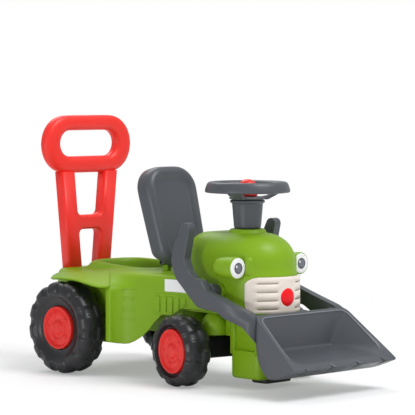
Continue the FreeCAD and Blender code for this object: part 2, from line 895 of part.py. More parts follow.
def pan_screws():
    low = arch_height - pan_thickness
    screws = []
    for x, y in pan_screw_places():
        start = vec(x, y, low - screw_head_height)
        shank = rod(screw_radius, start, "z", screw_length)
        screws.append(shank.fuse(rod(screw_head_radius, start, "z", screw_head_height)))
    return Part.makeCompound(screws)


def front_apron():
    top = arch_height - pan_thickness
    half = [(apron_rear, apron_half, apron_corner), (apron_front, apron_half, apron_corner)]
    shape = prism(symmetric(half), "z", apron_low, top)
    shape = shape.makeFillet(apron_round, level_edges(shape, apron_low, apron_low))
    room = prism(symmetric(half), "z", apron_low + apron_wall, top + overrun, -apron_wall)
    shape = shape.cut(room)
    low = apron_step
    high = top - apron_panel_margin
    rear = apron_rear + apron_panel_margin
    flank = box(rear, apron_front - apron_corner, apron_half - apron_panel_depth, apron_half + overrun,
                low, high)
    face = box(apron_front - apron_panel_depth, apron_front + overrun, -apron_panel_half, apron_panel_half,
               low, high)
    shape = shape.cut(both(flank)).cut(face)
    for x, y in pan_screw_places()[2:]:
        head_room = vec(x, y, top - 2 * screw_head_height)
        shape = shape.cut(rod(screw_head_radius + free_gap, head_room, "z", overrun))
    return only_solid(shape)


def skid_foot():
    half = [(skid_rear, skid_half, skid_depth), (skid_front, skid_half, skid_depth)]
    low = apron_low - skid_depth
    shape = prism(symmetric(half), "z", low, apron_low)
    return shape.makeFillet(skid_depth / 3, level_edges(shape, low, low))


# steering, drawn straight ahead and then turned to its rest angle

def bush(low, flange_below):
    outer = shaft_radius + bush_wall - running_gap
    height = bush_depth
    flange_z = low - bush_flange_height if flange_below else low + height
    shape = rod(outer, vec(steer_x, 0, low), "z", height)
    shape = shape.fuse(rod(outer + bush_flange, vec(steer_x, 0, flange_z), "z", bush_flange_height))
    bore = rod(shaft_radius + running_gap, vec(steer_x, 0, low - overrun), "z", height + 2 * overrun)
    return only_solid(shape.cut(bore).removeSplitter())


def column_base():
    return hood_top + collar_height + bush_flange_height + free_gap


def steering_column():
    low = column_base()
    foot = vec(steer_x, 0, low)
    cone = Part.makeCone(column_low_radius, column_high_radius, column_height, foot, vec(0, 0, 1))
    return cone.cut(rod(shaft_radius, foot, "z", column_height))


def steering_shaft():
    low = front_axle_height + axle_radius + tyre_wall
    return rod(shaft_radius, vec(steer_x, 0, low), "z", shaft_top - low)


def steering_wheel():
    centre = vec(steer_x, 0, steer_wheel_height)
    rim = Part.makeTorus(steer_rim_radius, steer_rim_thickness, centre, vec(0, 0, 1))
    low = column_base() + column_height
    hub = rod(steer_hub_radius, vec(steer_x, 0, low), "z", steer_hub_height)
    pieces = [rim, hub]
    start = steer_hub_radius - spoke_thickness
    rise = steer_wheel_height - low - steer_hub_height
    reach = steer_rim_radius - start
    for index in range(spokes):
        points = [(start, low, 0), (start + reach, low + rise, 0),
                  (start + reach, low + rise + spoke_thickness, 0), (start, low + spoke_thickness, 0)]
        bar = prism(points, "y", -spoke_width / 2, spoke_width / 2)
        bar.rotate(vec(0, 0, 0), vec(0, 0, 1), full_turn * index / spokes + half_turn)
        bar.translate(vec(steer_x, 0, 0))
        pieces.append(bar)
    shape = joined(pieces)
    return only_solid(shape.cut(rod(shaft_radius, vec(steer_x, 0, low), "z", shaft_top - low)))


def horn_base():
    return column_base() + column_height + steer_hub_height


def horn_cup():
    low = horn_base()
    cup = rod(horn_cup_radius, vec(steer_x, 0, low), "z", horn_cup_height)
    well = rod(horn_cup_radius - horn_cup_wall, vec(steer_x, 0, low + horn_cup_wall), "z", horn_cup_height)
    return cup.cut(well).cut(rod(shaft_radius, vec(steer_x, 0, low), "z", horn_cup_wall))


def horn_button():
    low = horn_base() + horn_cup_height - horn_travel
    body = rod(horn_button_radius, vec(steer_x, 0, low), "z", horn_button_height)
    body = rounded_top(body, low + horn_button_height, horn_round)
    well = rod(sleeve_radius + horn_cup_wall, vec(steer_x, 0, low), "z", horn_travel)
    return body.cut(well)


def horn_sleeve():
    foot = vec(steer_x, 0, horn_base() + horn_cup_wall + running_gap)
    height = horn_cup_height - horn_cup_wall - 2 * running_gap
    return rod(sleeve_radius, foot, "z", height).cut(rod(sleeve_radius - sleeve_rubber, foot, "z", height))


def axle_beam():
    axle_x = wheelbase
    block = box(axle_x - beam_rear, axle_x + beam_front, -beam_half, beam_half, beam_low, beam_high)
    long_edges = [edge for edge in block.Edges if edge.BoundBox.YLength > beam_half]
    block = block.makeFillet(beam_round, long_edges)
    hub = rod(beam_hub_radius, vec(steer_x, 0, beam_low), "z", beam_high - beam_low)
    end = front_half_track - front_wheel_width / 2 - free_gap
    stub = rod(axle_radius + sleeve_wall, vec(axle_x, -end, front_axle_height), "y", 2 * end)
    shape = joined([block, hub, stub])
    shape = shape.cut(rod(axle_radius, vec(axle_x, -widest, front_axle_height), "y", 2 * widest))
    low = front_axle_height + axle_radius + tyre_wall
    return only_solid(shape.cut(rod(shaft_radius, vec(steer_x, 0, low), "z", widest)))


def steered(shape):
    copy = shape.copy()
    copy.rotate(vec(steer_x, 0, 0), vec(0, 0, 1), steer_at_rest)
    return copy


# loader

def arm_points():
    points = []
    for u, v in arm_rear_shares:
        points.append((pivot_x + u * arm_reach * arm_rear_share, pivot_height + v * arm_rise, arm_corner))
    for u, v in arm_low_shares + arm_top_shares:
        corner = arm_end_corner if u == 1 else arm_corner
        points.append((pivot_x + u * arm_reach, pivot_height + v * arm_rise, corner))
    for u, v in arm_front_shares:
        points.append((pivot_x + u * arm_reach * arm_rear_share, pivot_height + v * arm_rise, arm_corner))
    return points


def loader_arm():
    outer = arm_inner + arm_thickness
    shape = prism(arm_points(), "y", arm_inner, outer)
    hub_start = pivot_boss_reach + free_gap
    hub = rod(pivot_boss_radius, vec(pivot_x, hub_start, pivot_height), "y", outer - arm_skin - hub_start)
    end = pivot_x + arm_reach
    web = [(end, arm_inner - gusset_width, 0), (end, arm_inner + arm_skin, 0),
           (end - gusset_reach, arm_inner + arm_skin, 0), (end - gusset_reach, arm_inner, 0),
           (end - gusset_reach / 3, arm_inner - gusset_width / 3, gusset_reach)]
    gusset = prism(web, "z", gusset_low, gusset_high)
    shape = joined([shape, hub, gusset])
    bore_end = outer - arm_skin + free_gap
    bore = rod(pivot_pin_radius + running_gap, vec(pivot_x, 0, pivot_height), "y", bore_end)
    return only_solid(shape.cut(bore).cut(bucket_bolt(running_gap)).cut(bolt_pocket()))


def pivot_pin():
    return rod(pivot_pin_radius, vec(pivot_x, pivot_pin_root, pivot_height), "y",
               arm_inner + arm_thickness - arm_skin - pivot_pin_root)


def bolt_place(x):
    return vec(x, arm_inner - gusset_width * bolt_share, bucket_bolt_height)


def bucket_bolt(grow=0):
    seat = bucket_back - bolt_seat
    shank = rod(screw_radius + grow, bolt_place(seat), "x", bolt_seat + bolt_bite + grow)
    if grow:
        return shank
    return shank.fuse(rod(screw_head_radius, bolt_place(seat - screw_head_height), "x", screw_head_height))


def bolt_pocket():
    return rod(screw_head_radius + free_gap, bolt_place(bucket_back - gusset_reach), "x",
               gusset_reach - bolt_seat)


def bucket_profile(inset):
    points = [(bucket_back, bucket_top, 0), (bucket_back, bucket_knee_height, bucket_knee_round),
              (bucket_tip_x, bucket_tip, 0), (bucket_lip_x, bucket_lip, 0)]
    return prism(points, "y", -widest, widest, -inset)


def bucket_sides(inset):
    flare = (bucket_lip_half - bucket_top_half) / (bucket_lip_x - bucket_back)
    tip_half = bucket_top_half + flare * (bucket_tip_x - bucket_back)
    half = [(bucket_back, bucket_top_half, 0), (bucket_tip_x, tip_half, 0)]
    return prism(symmetric(half), "z", 0, widest, -inset)


def bucket_outside():
    shape = bucket_profile(0).common(bucket_sides(0))

    def under_side(edge):
        span = edge.BoundBox
        outside = min(abs(span.YMin), abs(span.YMax)) > bucket_top_half - close_enough
        one_side = span.YMin * span.YMax > 0
        below = span.ZMax < bucket_top - close_enough and span.ZMin < bucket_tip - close_enough
        return outside and one_side and below and span.XMin < bucket_lip_x

    bottom = [edge for edge in shape.Edges if under_side(edge)]
    return shape.makeFillet(bucket_edge_round, bottom)


def bucket_inside(grow=0):
    # the open space above the floor, in front of the back wall and between the slanted sides
    back = bucket_back + bucket_wall
    front = bucket_tip_x + overrun
    roof = bucket_top + overrun
    fall = (bucket_lip - bucket_crease_height) / (bucket_lip_x - back)
    points = [(back, bucket_crease_height, 0), (front, bucket_lip + fall * (front - bucket_lip_x), 0),
              (front, roof, 0), (back, roof, 0)]
    shape = prism(points, "y", -widest, widest, grow)
    first = vec(back, bucket_crease_half, bucket_crease_height)
    second = vec(back, bucket_top_half - bucket_wall, bucket_top)
    third = vec(bucket_lip_x, bucket_lip_half - bucket_wall, bucket_lip)
    normal = (third - first).cross(second - first)
    if normal.y < 0:
        normal = normal * -1
    normal.normalize()
    side = Part.makeBox(2 * widest, 2 * widest, widest, vec(-widest, -widest, 0))
    side.Placement = FreeCAD.Placement(first + normal * grow, FreeCAD.Rotation(vec(0, 0, 1), normal))
    return shape.cut(side).cut(mirrored(side))


def bucket():
    core = bucket_profile(bucket_wall).common(bucket_sides(bucket_wall)).cut(bucket_inside(bucket_wall))
    drain = rod(screw_radius, vec(bucket_back - overrun, 0, drain_height), "x", overrun + 2 * bucket_wall)
    shape = bucket_outside().cut(bucket_inside()).cut(core).cut(drain)
    for sense in (-3, -1, 1, 3):
        y = sense * bucket_lip_half * tooth_share
        groove = box(bucket_tip_x - tooth_depth, bucket_tip_x + overrun,
                     y - tooth_groove / 2, y + tooth_groove / 2, 0, bucket_top)
        shape = shape.cut(groove)
    return only_solid(shape.cut(both(bucket_bolt(running_gap))).removeSplitter())


def pieces():
    nodes = {}
    body = body_shell()
    nodes["rear_body"] = only_solid(body.cut(cowl_half_space()))
    nodes["cowl"] = only_solid(body.common(cowl_half_space()))
    nodes["hood"] = hood()
    nodes["floor_pan"] = floor_pan()
    nodes["front_apron"] = front_apron()
    nodes["skid_foot"] = skid_foot()
    nodes["grille"] = grille()
    nodes["grille_badge"] = grille_badge()
    nodes["push_handle"] = push_handle()
    nodes["handle_screws"] = Part.makeCompound([handle_screw(), mirrored(handle_screw())])
    nodes["pan_screws"] = pan_screws()
    nodes["hinge_pin"] = hinge_pin()
    nodes["seat_lid"] = seat_lid()
    sided = {"mudguard": mudguard(), "side_label": side_label(), "lamp_lens": lamp_lens(),
             "lamp_iris": lamp_iris(), "loader_arm": loader_arm(), "pivot_pin": pivot_pin(),
             "front_dome": front_dome()}
    for name, shape in sided.items():
        nodes[name + "_left"] = shape
        nodes[name + "_right"] = mirrored(shape)
    nodes["bucket"] = bucket()
    nodes["bucket_screws"] = Part.makeCompound([bucket_bolt(), mirrored(bucket_bolt())])
    nodes["rear_axle"] = moved(axle(rear_half_track, rear_wheel_width), 0, 0, axle_height)
    nodes["rear_axle_caps"] = moved(axle_caps(rear_half_track, rear_wheel_width), 0, 0, axle_height)
    nodes["upper_bush"] = bush(hood_top + collar_height - bush_depth, False)
    nodes["lower_bush"] = bush(arch_height - pan_thickness - bush_depth, True)
    nodes["steering_column"] = steered(steering_column())
    nodes["steering_shaft"] = steered(steering_shaft())
    nodes["steering_wheel"] = steered(steering_wheel())
    nodes["horn_cup"] = steered(horn_cup())
    nodes["horn_button"] = steered(horn_button())
    nodes["horn_sleeve"] = steered(horn_sleeve())
    nodes["axle_beam"] = steered(axle_beam())
    front_axle = moved(axle(front_half_track, front_wheel_width), wheelbase, 0, front_axle_height)
    nodes["front_axle"] = steered(front_axle)
    front_caps = moved(axle_caps(front_half_track, front_wheel_width), wheelbase, 0, front_axle_height)
    nodes["front_axle_caps"] = steered(front_caps)
    rear = wheel(rear_wheel_radius, rear_wheel_width, rear_lugs, rear_lug_drop)
    rear = moved(rear, 0, rear_half_track, axle_height)
    rear_cover = moved(hubcap(rear_wheel_width), 0, rear_half_track, axle_height)
    front = wheel(front_wheel_radius, front_wheel_width, front_lugs, front_lug_drop)
    front = moved(front, wheelbase, front_half_track, front_axle_height)
    front_cover = moved(hubcap(front_wheel_width), wheelbase, front_half_track, front_axle_height)
    for name, shape in {"rear_wheel": rear, "rear_hubcap": rear_cover}.items():
        nodes[name + "_left"] = shape
        nodes[name + "_right"] = mirrored(shape)
    for name, shape in {"front_wheel": front, "front_hubcap": front_cover}.items():
        nodes[name + "_left"] = steered(shape)
        nodes[name + "_right"] = steered(mirrored(shape))
    return nodes


os.makedirs("parts", exist_ok=True)
for node, shape in pieces().items():
    placed = moved(shape, -centre_x, 0, 0)
    placed.exportStep("parts/" + node + ".step")
    print(node, "solids", len(placed.Solids), "valid", placed.isValid())
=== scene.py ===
import json
from math import atan2, copysign, cos, hypot, pi, radians, sin, sqrt, tan, tau

import bmesh
import bpy
from mathutils import Matrix, Vector


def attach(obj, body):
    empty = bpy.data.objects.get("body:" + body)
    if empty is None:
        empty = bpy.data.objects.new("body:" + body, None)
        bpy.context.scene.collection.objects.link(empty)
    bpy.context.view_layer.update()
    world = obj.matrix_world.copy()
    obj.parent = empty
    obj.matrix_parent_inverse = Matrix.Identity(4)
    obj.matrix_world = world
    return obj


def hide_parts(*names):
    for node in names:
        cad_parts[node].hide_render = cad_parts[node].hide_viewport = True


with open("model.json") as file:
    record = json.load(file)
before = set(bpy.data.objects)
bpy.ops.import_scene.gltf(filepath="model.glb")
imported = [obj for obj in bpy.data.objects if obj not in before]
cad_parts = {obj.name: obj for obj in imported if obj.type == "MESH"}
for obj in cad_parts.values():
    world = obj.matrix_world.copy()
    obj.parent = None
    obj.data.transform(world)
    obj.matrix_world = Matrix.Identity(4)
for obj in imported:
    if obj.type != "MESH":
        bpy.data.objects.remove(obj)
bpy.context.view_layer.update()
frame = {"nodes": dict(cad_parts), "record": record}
scene = bpy.context.scene
print("frame loaded:", len(frame["nodes"]), "nodes")

rearAxleX = -224.8  # where the rear axle lies along the part, mm
bevelReach = 100.0  # the rounding that a bevel weight of 1 gives, mm
weld = {"turned": 0.005, "piece": 0.01}  # points closer than this become one, mm
sides = {"left": 1, "right": -1}


def at(x, y, z):  # millimetres from the rear axle to metres in the part's frame
    return Vector(((x + rearAxleX) / 1000, y / 1000, z / 1000))


# finishes

def linear(red, green, blue):  # screen colour, 0 to 255, to the colour of a surface
    def one(value):
        value = value / 255
        return value / 12.92 if value <= 0.04045 else ((value + 0.055) / 1.055) ** 2.4
    return (one(red), one(green), one(blue), 1.0)


def shaded(colour, factor):
    return tuple(min(1.0, part * factor) for part in colour[:3]) + (1.0,)


def nodeOf(tree, kind, values):  # a new shader node with its values set
    node = tree.nodes.new("ShaderNode" + kind)
    for name, value in values.items():
        node.inputs[name].default_value = value
    return node


def wired(giver, output, taker, entry):
    taker.id_data.links.new(giver.outputs[output], taker.inputs[entry])


def newMaterial(name):  # with its node tree and its shader
    mat = bpy.data.materials.new(name)
    mat.use_nodes = True
    return mat, mat.node_tree, mat.node_tree.nodes["Principled BSDF"]


def mouldedPlastic(name, colour, look):
    mat, tree, shader = newMaterial(name)
    place = nodeOf(tree, "TexCoord", {})

    # slow drift of the tone
    clouds = nodeOf(tree, "TexNoise", {"Scale": look["cloudScale"], "Detail": 4})
    wired(place, "Object", clouds, "Vector")
    tone = nodeOf(tree, "ValToRGB", {})
    for stop, position, sign in zip(tone.color_ramp.elements, (0.3, 0.7), (-1, 1)):
        stop.position = position
        stop.color = shaded(colour, 1 + sign * look["drift"])
    wired(clouds, "Fac", tone, "Fac")
    wired(tone, "Color", shader, "Base Color")

    # faint rubbed streaks in the gloss
    scuff = nodeOf(tree, "Mapping", {"Scale": look["streaks"]})
    wired(place, "Object", scuff, "Vector")
    rub = nodeOf(tree, "TexNoise", {"Scale": 30, "Detail": 6})
    wired(scuff, "Vector", rub, "Vector")
    gloss = nodeOf(tree, "MapRange", {"To Min": look["roughness"] - look["rub"],
                                      "To Max": look["roughness"] + look["rub"]})
    wired(rub, "Fac", gloss, "Value")
    wired(gloss, "Result", shader, "Roughness")

    # fine grain of the mould
    grain = nodeOf(tree, "TexNoise", {"Scale": look["grainScale"], "Detail": 3})
    wired(place, "Object", grain, "Vector")
    skin = nodeOf(tree, "Bump", {"Strength": look["grain"], "Distance": look["grainDepth"]})
    wired(grain, "Fac", skin, "Height")
    wired(skin, "Normal", shader, "Normal")
    shader.inputs["IOR"].default_value = look["ior"]
    shader.inputs["Metallic"].default_value = look["metallic"]
    return mat


satin = {"cloudScale": 7, "drift": 0.035, "streaks": (1, 1, 5), "roughness": 0.42, "rub": 0.06,
         "grainScale": 900, "grain": 0.10, "grainDepth": 0.0004, "ior": 1.46, "metallic": 0.0}
finishTable = {
    "green_plastic": ((128, 168, 20), {"ior": 1.37}),
    "grey_plastic": ((76, 79, 84), {"roughness": 0.38, "drift": 0.05}),
    "red_plastic": ((222, 36, 28), {"roughness": 0.40}),
    "black_wheel": ((33, 33, 35), {"roughness": 0.36, "drift": 0.08, "rub": 0.09, "streaks": (2, 2, 2)}),
    "black_plastic": ((34, 34, 36), {"drift": 0.06}),
    "cream_plastic": ((238, 226, 214), {"drift": 0.02}),
    "white_film": ((238, 238, 238), {"roughness": 0.3, "drift": 0.01}),
    "grey_film": ((112, 114, 124), {"roughness": 0.3, "drift": 0.04}),
    "steel": ((176, 176, 178), {"roughness": 0.32, "metallic": 1.0, "drift": 0.06, "streaks": (1, 1, 20)}),
    "badge_red": ((246, 16, 26), {"roughness": 0.34, "ior": 1.35}),
    # painted light: a lighter copy of the red plastic for the handle, which catches more light than the
    # hubcaps
    "handle_painted_light_red": ((240, 44, 34), {"roughness": 0.40}),
    # painted shade: a darker tone for strips laid in the grille grooves where shadow falls
    "painted_slot_shade": ((164, 148, 134), {"roughness": 0.6}),
    # painted highlight: a light grey for the bucket's rim bead, standing in for the light line along its
    # glossy edge
    "bead_painted_highlight": ((124, 128, 132), {"roughness": 0.36, "drift": 0.08}),
    "iris_edge": ((84, 80, 96), {"roughness": 0.3, "drift": 0.04}),
}
finishes = {}
for name, (colour, change) in finishTable.items():
    finishes[name] = mouldedPlastic(name.replace("_", " "), linear(*colour), dict(satin, **change))
for part in frame["record"]["subparts"]:
    nodeObject = frame["nodes"][part["node"]]
    for holder in nodeObject.material_slots:
        holder.material = finishes[part["material_slot"]]
print("finishes ready:", len(finishes))


# shaping

def slab(points, offset):  # a prism from a few outline points, its offset in mm
    bm = bmesh.new()
    face = bm.faces.new([bm.verts.new(point) for point in points])
    grown = bmesh.ops.extrude_face_region(bm, geom=[face])["geom"]
    moving = [part for part in grown if isinstance(part, bmesh.types.BMVert)]
    bmesh.ops.translate(bm, verts=moving, vec=Vector(offset) / 1000)
    bmesh.ops.recalc_face_normals(bm, faces=bm.faces)
    return bm


def block(low, high):  # a box between two corners, in mm
    bm = bmesh.new()
    bmesh.ops.create_cube(bm, size=1)
    low, high = at(*low), at(*high)
    bmesh.ops.scale(bm, vec=high - low, verts=bm.verts)
    bmesh.ops.translate(bm, vec=(low + high) / 2, verts=bm.verts)
    return bm


def turned(profile, steps, closed=False):  # (radius, height) in mm, turned about Z
    bm = bmesh.new()
    verts = [bm.verts.new((radius / 1000, 0, height / 1000)) for radius, height in profile]
    pairs = list(zip(verts, verts[1:]))
    if closed:
        pairs.append((verts[-1], verts[0]))
    edges = [bm.edges.new(pair) for pair in pairs]
    bmesh.ops.spin(bm, geom=verts + edges, cent=(0, 0, 0), axis=(0, 0, 1), dvec=(0, 0, 0),
                   angle=tau, steps=steps, use_merge=True, use_duplicate=False)
    bmesh.ops.remove_doubles(bm, verts=bm.verts, dist=weld["turned"] / 1000)
    bmesh.ops.recalc_face_normals(bm, faces=bm.faces)
    return bm


def draped(columns, rows, place):  # a grid whose points are moved to their places
    bm = bmesh.new()
    bmesh.ops.create_grid(bm, x_segments=columns - 1, y_segments=rows - 1, size=1)
    for vert in bm.verts:
        column = round((vert.co.x + 1) / 2 * (columns - 1))
        row = round((vert.co.y + 1) / 2 * (rows - 1))
        vert.co = place(column, row)
    return bm


def filleted(corners, steps):  # (x, y, radius) corners to places, each with the way inwards
    spots = []
    for index, (x, y, radius) in enumerate(corners):
        here = Vector((x, y))
        back = (Vector(corners[index - 1][:2]) - here).normalized()
        ahead = (Vector(corners[(index + 1) % len(corners)][:2]) - here).normalized()
        if radius == 0:
            spots.append((here, (back + ahead).normalized()))
            continue
        half = back.angle(ahead) / 2
        middle = here + (back + ahead).normalized() * radius / sin(half)
        first = here + back * radius / tan(half) - middle
        last = here + ahead * radius / tan(half) - middle
        for step in range(steps + 1):
            out = first.slerp(last, step / steps).normalized()
            spots.append((middle + out * radius, -out))
    return spots


def bead(spots, upright, radius):  # a slim round bead along places in mm, thinner at its ends
    last = len(spots) - 1
    facets = 8
    tipShare, growth = 0.1, 0.45

    def place(column, row):
        forward = (spots[min(last, column + 1)] - spots[max(0, column - 1)]).normalized()
        outward = forward.cross(upright)
        size = radius * min(1.0, tipShare + growth * min(column, last - column))
        angle = tau * (row % facets) / facets
        return at(*(spots[column] + (outward * cos(angle) + upright * sin(angle)) * size))

    return draped(len(spots), facets + 1, place)


def bothWays(values):  # a list from the middle outwards, with its mirror image before it
    return [-value for value in reversed(values[1:])] + values


def squircle(x, y, power):  # how far a rounded square reaches that way
    return (abs(x) ** power + abs(y) ** power) ** (-1 / power)


def moved(bm, matrix):
    bmesh.ops.transform(bm, matrix=matrix, verts=bm.verts)
    return bm


def placed(bm, spot, angle, axis):  # turned about an axis, then put in its place
    return moved(bm, Matrix.Translation(spot) @ Matrix.Rotation(angle, 4, axis))


def about(pivot, degrees, axis):  # a turn about a line through the pivot
    turn = Matrix.Rotation(radians(degrees), 4, axis)
    return Matrix.Translation(pivot) @ turn @ Matrix.Translation(-pivot)


def added(bm, other):  # puts a second shape into the first
    spare = bpy.data.meshes.new("spare")
    other.to_mesh(spare)
    other.free()
    bm.from_mesh(spare)
    bpy.data.meshes.remove(spare)
    return bm


def mirroredCopy(bm):  # the shape and its mirror image across the middle
    twin = bm.copy()
    bmesh.ops.scale(twin, vec=(1, -1, 1), verts=twin.verts)
    bmesh.ops.reverse_faces(twin, faces=twin.faces)
    return added(bm, twin)


def runsAlong(edge, axis):
    run = edge.verts[1].co - edge.verts[0].co
    return abs(run[axis]) > 0.96 * run.length


def middleOf(edge):  # in mm from the rear axle
    x, y, z = (edge.verts[0].co + edge.verts[1].co) / 2
    return Vector((x * 1000 - rearAxleX, y * 1000, z * 1000))


def weighed(bm, rule):  # rounding of each edge in mm, for the bevel
    layer = bm.edges.layers.float.new("bevel_weight_edge")
    for edge in bm.edges:
        edge[layer] = rule(edge) / bevelReach
    return bm


def softened(bm, rule, radius, segments):  # rounds the edges that the rule picks
    edges = [edge for edge in bm.edges if rule(edge)]
    bmesh.ops.bevel(bm, geom=edges, offset=radius / 1000, offset_type="OFFSET", affect="EDGES",
                    segments=segments, profile=0.5, material=-1, clamp_overlap=True)
    return bm


def linked(name, data):  # a new object in the scene
    obj = bpy.data.objects.new(name, data)
    scene.collection.objects.link(obj)
    return obj


def meshObject(bm, name, material):
    mesh = bpy.data.meshes.new(name)
    bm.to_mesh(mesh)
    bm.free()
    mesh.materials.append(material)
    return linked(name, mesh)


greenBody = ("chassis", "green_plastic")
greyLoader = ("loader", "grey_plastic")
greySteering = ("steering", "grey_plastic")


def piece(bm, name, body, slotName, nodes=(), levels=0, wall=0, segments=0, finish=None):
    bmesh.ops.remove_doubles(bm, verts=bm.verts, dist=weld["piece"] / 1000)
    bmesh.ops.recalc_face_normals(bm, faces=bm.faces)
    obj = meshObject(bm, name, finishes[finish or slotName])
    obj.data.shade_smooth()
    if wall:
        shell = obj.modifiers.new("wall", "SOLIDIFY")
        shell.thickness = wall / 1000
        shell.offset = -1
    if segments:
        edge = obj.modifiers.new("rounding", "BEVEL")
        edge.limit_method = "WEIGHT"
        edge.width = bevelReach / 1000
        edge.segments = segments
        edge.harden_normals = True
    if levels:
        smooth = obj.modifiers.new("smooth", "SUBSURF")
        smooth.levels = levels
        smooth.render_levels = levels
    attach(obj, body)
    if nodes:
        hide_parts(*nodes)
    return obj


# wheels

steerAt = {"x": 332, "restAngle": -8.9}
wheelSizes = {
    "rear": {"x": 0, "radius": 85, "half": 28, "track": 138, "lugs": 12, "drop": 24},
    "front": {"x": 303.5, "radius": 63.5, "half": 26, "track": 124, "lugs": 10, "drop": 16},
}
lugShape = {"height": 2.8, "taper": 2.2, "gap": 2.6, "sink": 0.6, "steps": 6, "filled": 4, "stagger": 3}
hubcapShape = {
    "radius": 40, "play": 0.4, "inset": 3, "studs": 5, "studCircle": 25, "studFoot": 2.2,
    "stud": [(0, 1.9), (2.4, 1.7), (4.2, 0.7), (4.6, -1.2)],
    "profile": [(0, 0.6), (7, 0.5), (11.4, 0), (13, -3.2), (15, -4.2), (19, -4.2), (20.4, -2.6), (22, -2.2),
                (30, -2.4), (32, -4.4), (33.4, -4.4), (34.8, -0.8), (36.5, 0), (38.5, -0.2), (39.8, -1.6),
                (39.9, -8)],
}


def steered():
    return about(at(steerAt["x"], 0, 0), steerAt["restAngle"], "Z")


def wheelPlace(end, side):  # from the turning axis on Z to the wheel's own axle
    size = wheelSizes[end]
    lay = Matrix.Rotation(-pi / 2 * sides[side], 4, "X")
    place = Matrix.Translation(at(size["x"], sides[side] * size["track"], size["radius"])) @ lay
    return steered() @ place if end == "front" else place


def tyre(end):
    size = wheelSizes[end]
    outer = size["radius"] - lugShape["height"] + lugShape["sink"]
    half = size["half"]
    hub = hubcapShape["radius"] + hubcapShape["play"]
    drop = size["radius"] - size["drop"]
    dish = drop - hub
    seat = half - 11
    profile = [(hub, seat), (hub + 0.4, half - 9.6), (hub + 1.6, half - 9.2),
               (hub + 0.2 * dish, half - 9.4), (hub + 0.42 * dish, half - 9),
               (hub + 0.66 * dish, half - 6.4), (hub + 0.86 * dish, half - 2.6), (drop, half - 0.9),
               (outer - 11, half - 1.8), (outer - 3.6, half - 6), (outer - 0.8, half - 13),
               (outer, lugShape["gap"]), (outer, -lugShape["gap"]), (outer - 0.8, 13 - half),
               (outer - 3.6, 6 - half), (outer - 11, 1.8 - half), (drop, 0.6 - half), (drop - 8, 2 - half),
               (drop - 9, 8 - half), (hub + 4, seat - 5), (hub - 4, seat - 4), (14, seat - 4),
               (11, seat - 7), (11, 0.4 - half), (5.2, 0.4 - half), (5.2, seat)]
    steps = size["lugs"] * lugShape["steps"]
    bm = turned(profile, steps, closed=True)

    def lugAt(face):
        middle = face.calc_center_median() * 1000
        radius = hypot(middle.x, middle.y)
        if radius < drop or abs(middle.z) < lugShape["gap"]:
            return False
        sector = int((atan2(middle.y, middle.x) % tau) / tau * steps)
        stagger = 0 if middle.z > 0 else lugShape["stagger"]
        return (sector + stagger) % lugShape["steps"] < lugShape["filled"]

    lugs = [face for face in bm.faces if lugAt(face)]
    bmesh.ops.inset_region(bm, faces=lugs, thickness=lugShape["taper"] / 1000,
                           depth=lugShape["height"] / 1000, use_boundary=True, use_even_offset=True)
    return bm


def hubcap(end):
    shape = hubcapShape
    front = wheelSizes[end]["half"] - shape["inset"]
    bm = turned([(radius, front + height) for radius, height in shape["profile"]], 48)
    for index in range(shape["studs"]):
        angle = tau * (index + 0.5) / shape["studs"]
        reach = shape["studCircle"] / 1000
        spot = Vector((reach * cos(angle), reach * sin(angle), (front - shape["studFoot"]) / 1000))
        added(bm, moved(turned(shape["stud"], 16), Matrix.Translation(spot)))
    return bm


for end in wheelSizes:
    for side in sides:
        body = end + "_wheel_" + side + "_body"
        place = wheelPlace(end, side)
        piece(moved(tyre(end), place), end + "Tyre." + side, body, "black_wheel",
              [end + "_wheel_" + side], levels=2)
        piece(moved(hubcap(end), place), end + "Hubcap." + side, body, "red_plastic",
              [end + "_hubcap_" + side], levels=1)
print("wheels made")


# rear body: side wall, deck, bin collar and bin in one skin

bodyShape = {
    "plan": [(-121, 0), (-121, 30), (-121, 47), (-118, 58), (-108, 69), (-90, 79.5), (-72, 88), (-58, 93),
             (-40, 95), (0, 95), (50, 95), (84, 95), (95, 95.6), (97, 98.5), (97, 112), (97, 126.5),
             (98, 130.4), (100, 131), (109.4, 131), (110.8, 130.2), (111.6, 125), (117.4, 112.4),
             (131, 103), (152, 97), (172, 93.8), (200, 91.4), (240, 88), (280, 84.4), (296, 82.6),
             (303, 77.5), (305, 68), (305, 40), (305, 0)],
    "flank": 95, "spine": (-60, 240),
    "sill": [(-121, 112), (-84, 58), (132, 58), (188, 96), (206, 133), (305, 133)], "sillFlare": 0.2,
    "rows": [0.0, 0.03, 0.35, 0.7, 1.0],
    "calmFirst": 10, "calmX": [42, 48, 52, 54, 56, 58, 60, 63, 69, 74, 84, 98, 118, 145],
    "wallTop": 150,
    "crown": [(157, 1, 0), (164.4, 0.97, 0), (170.6, 0.74, 0.3), (176.8, 0.47, 0.9), (182.8, 0.22, 2.2),
              (187.6, 0.07, 5), (190.6, 0, 10), (192, 0, 17)],
    "deck": 192.4, "squareness": 2.9, "deckFall": [(-121, 7), (-20, 7), (60, 0), (305, 0)], "fallFrom": 157,
    "collar": [(-61, 149, 76, 0.0), (-56, 147, 73.6, 0.26), (-48, 144, 70.6, 0.68), (-40, 141.4, 68, 0.93),
               (-31, 138.8, 65, 1.0), (-24, 136.8, 62, 0.93)],
    "bin": [(-21.4, 135.6, 60.6, 188), (-20, 135, 60, 179), (-19.4, 134.6, 59.6, 150),
            (-18.5, 133.6, 58.6, 112), (-16, 131, 56, 102), (-8, 123, 48, 100.2), (20, 95, 20, 100),
            (45, 70, 0, 100)],
    "crest": [(-121, 203.4), (-10, 203.4), (110, 197), (305, 197)],
    "wall": 3.0,
}


def along(table, x):
    for (x0, z0), (x1, z1) in zip(table, table[1:]):
        if x <= x1:
            return z0 + (z1 - z0) * (x - x0) / (x1 - x0)
    return table[-1][1]


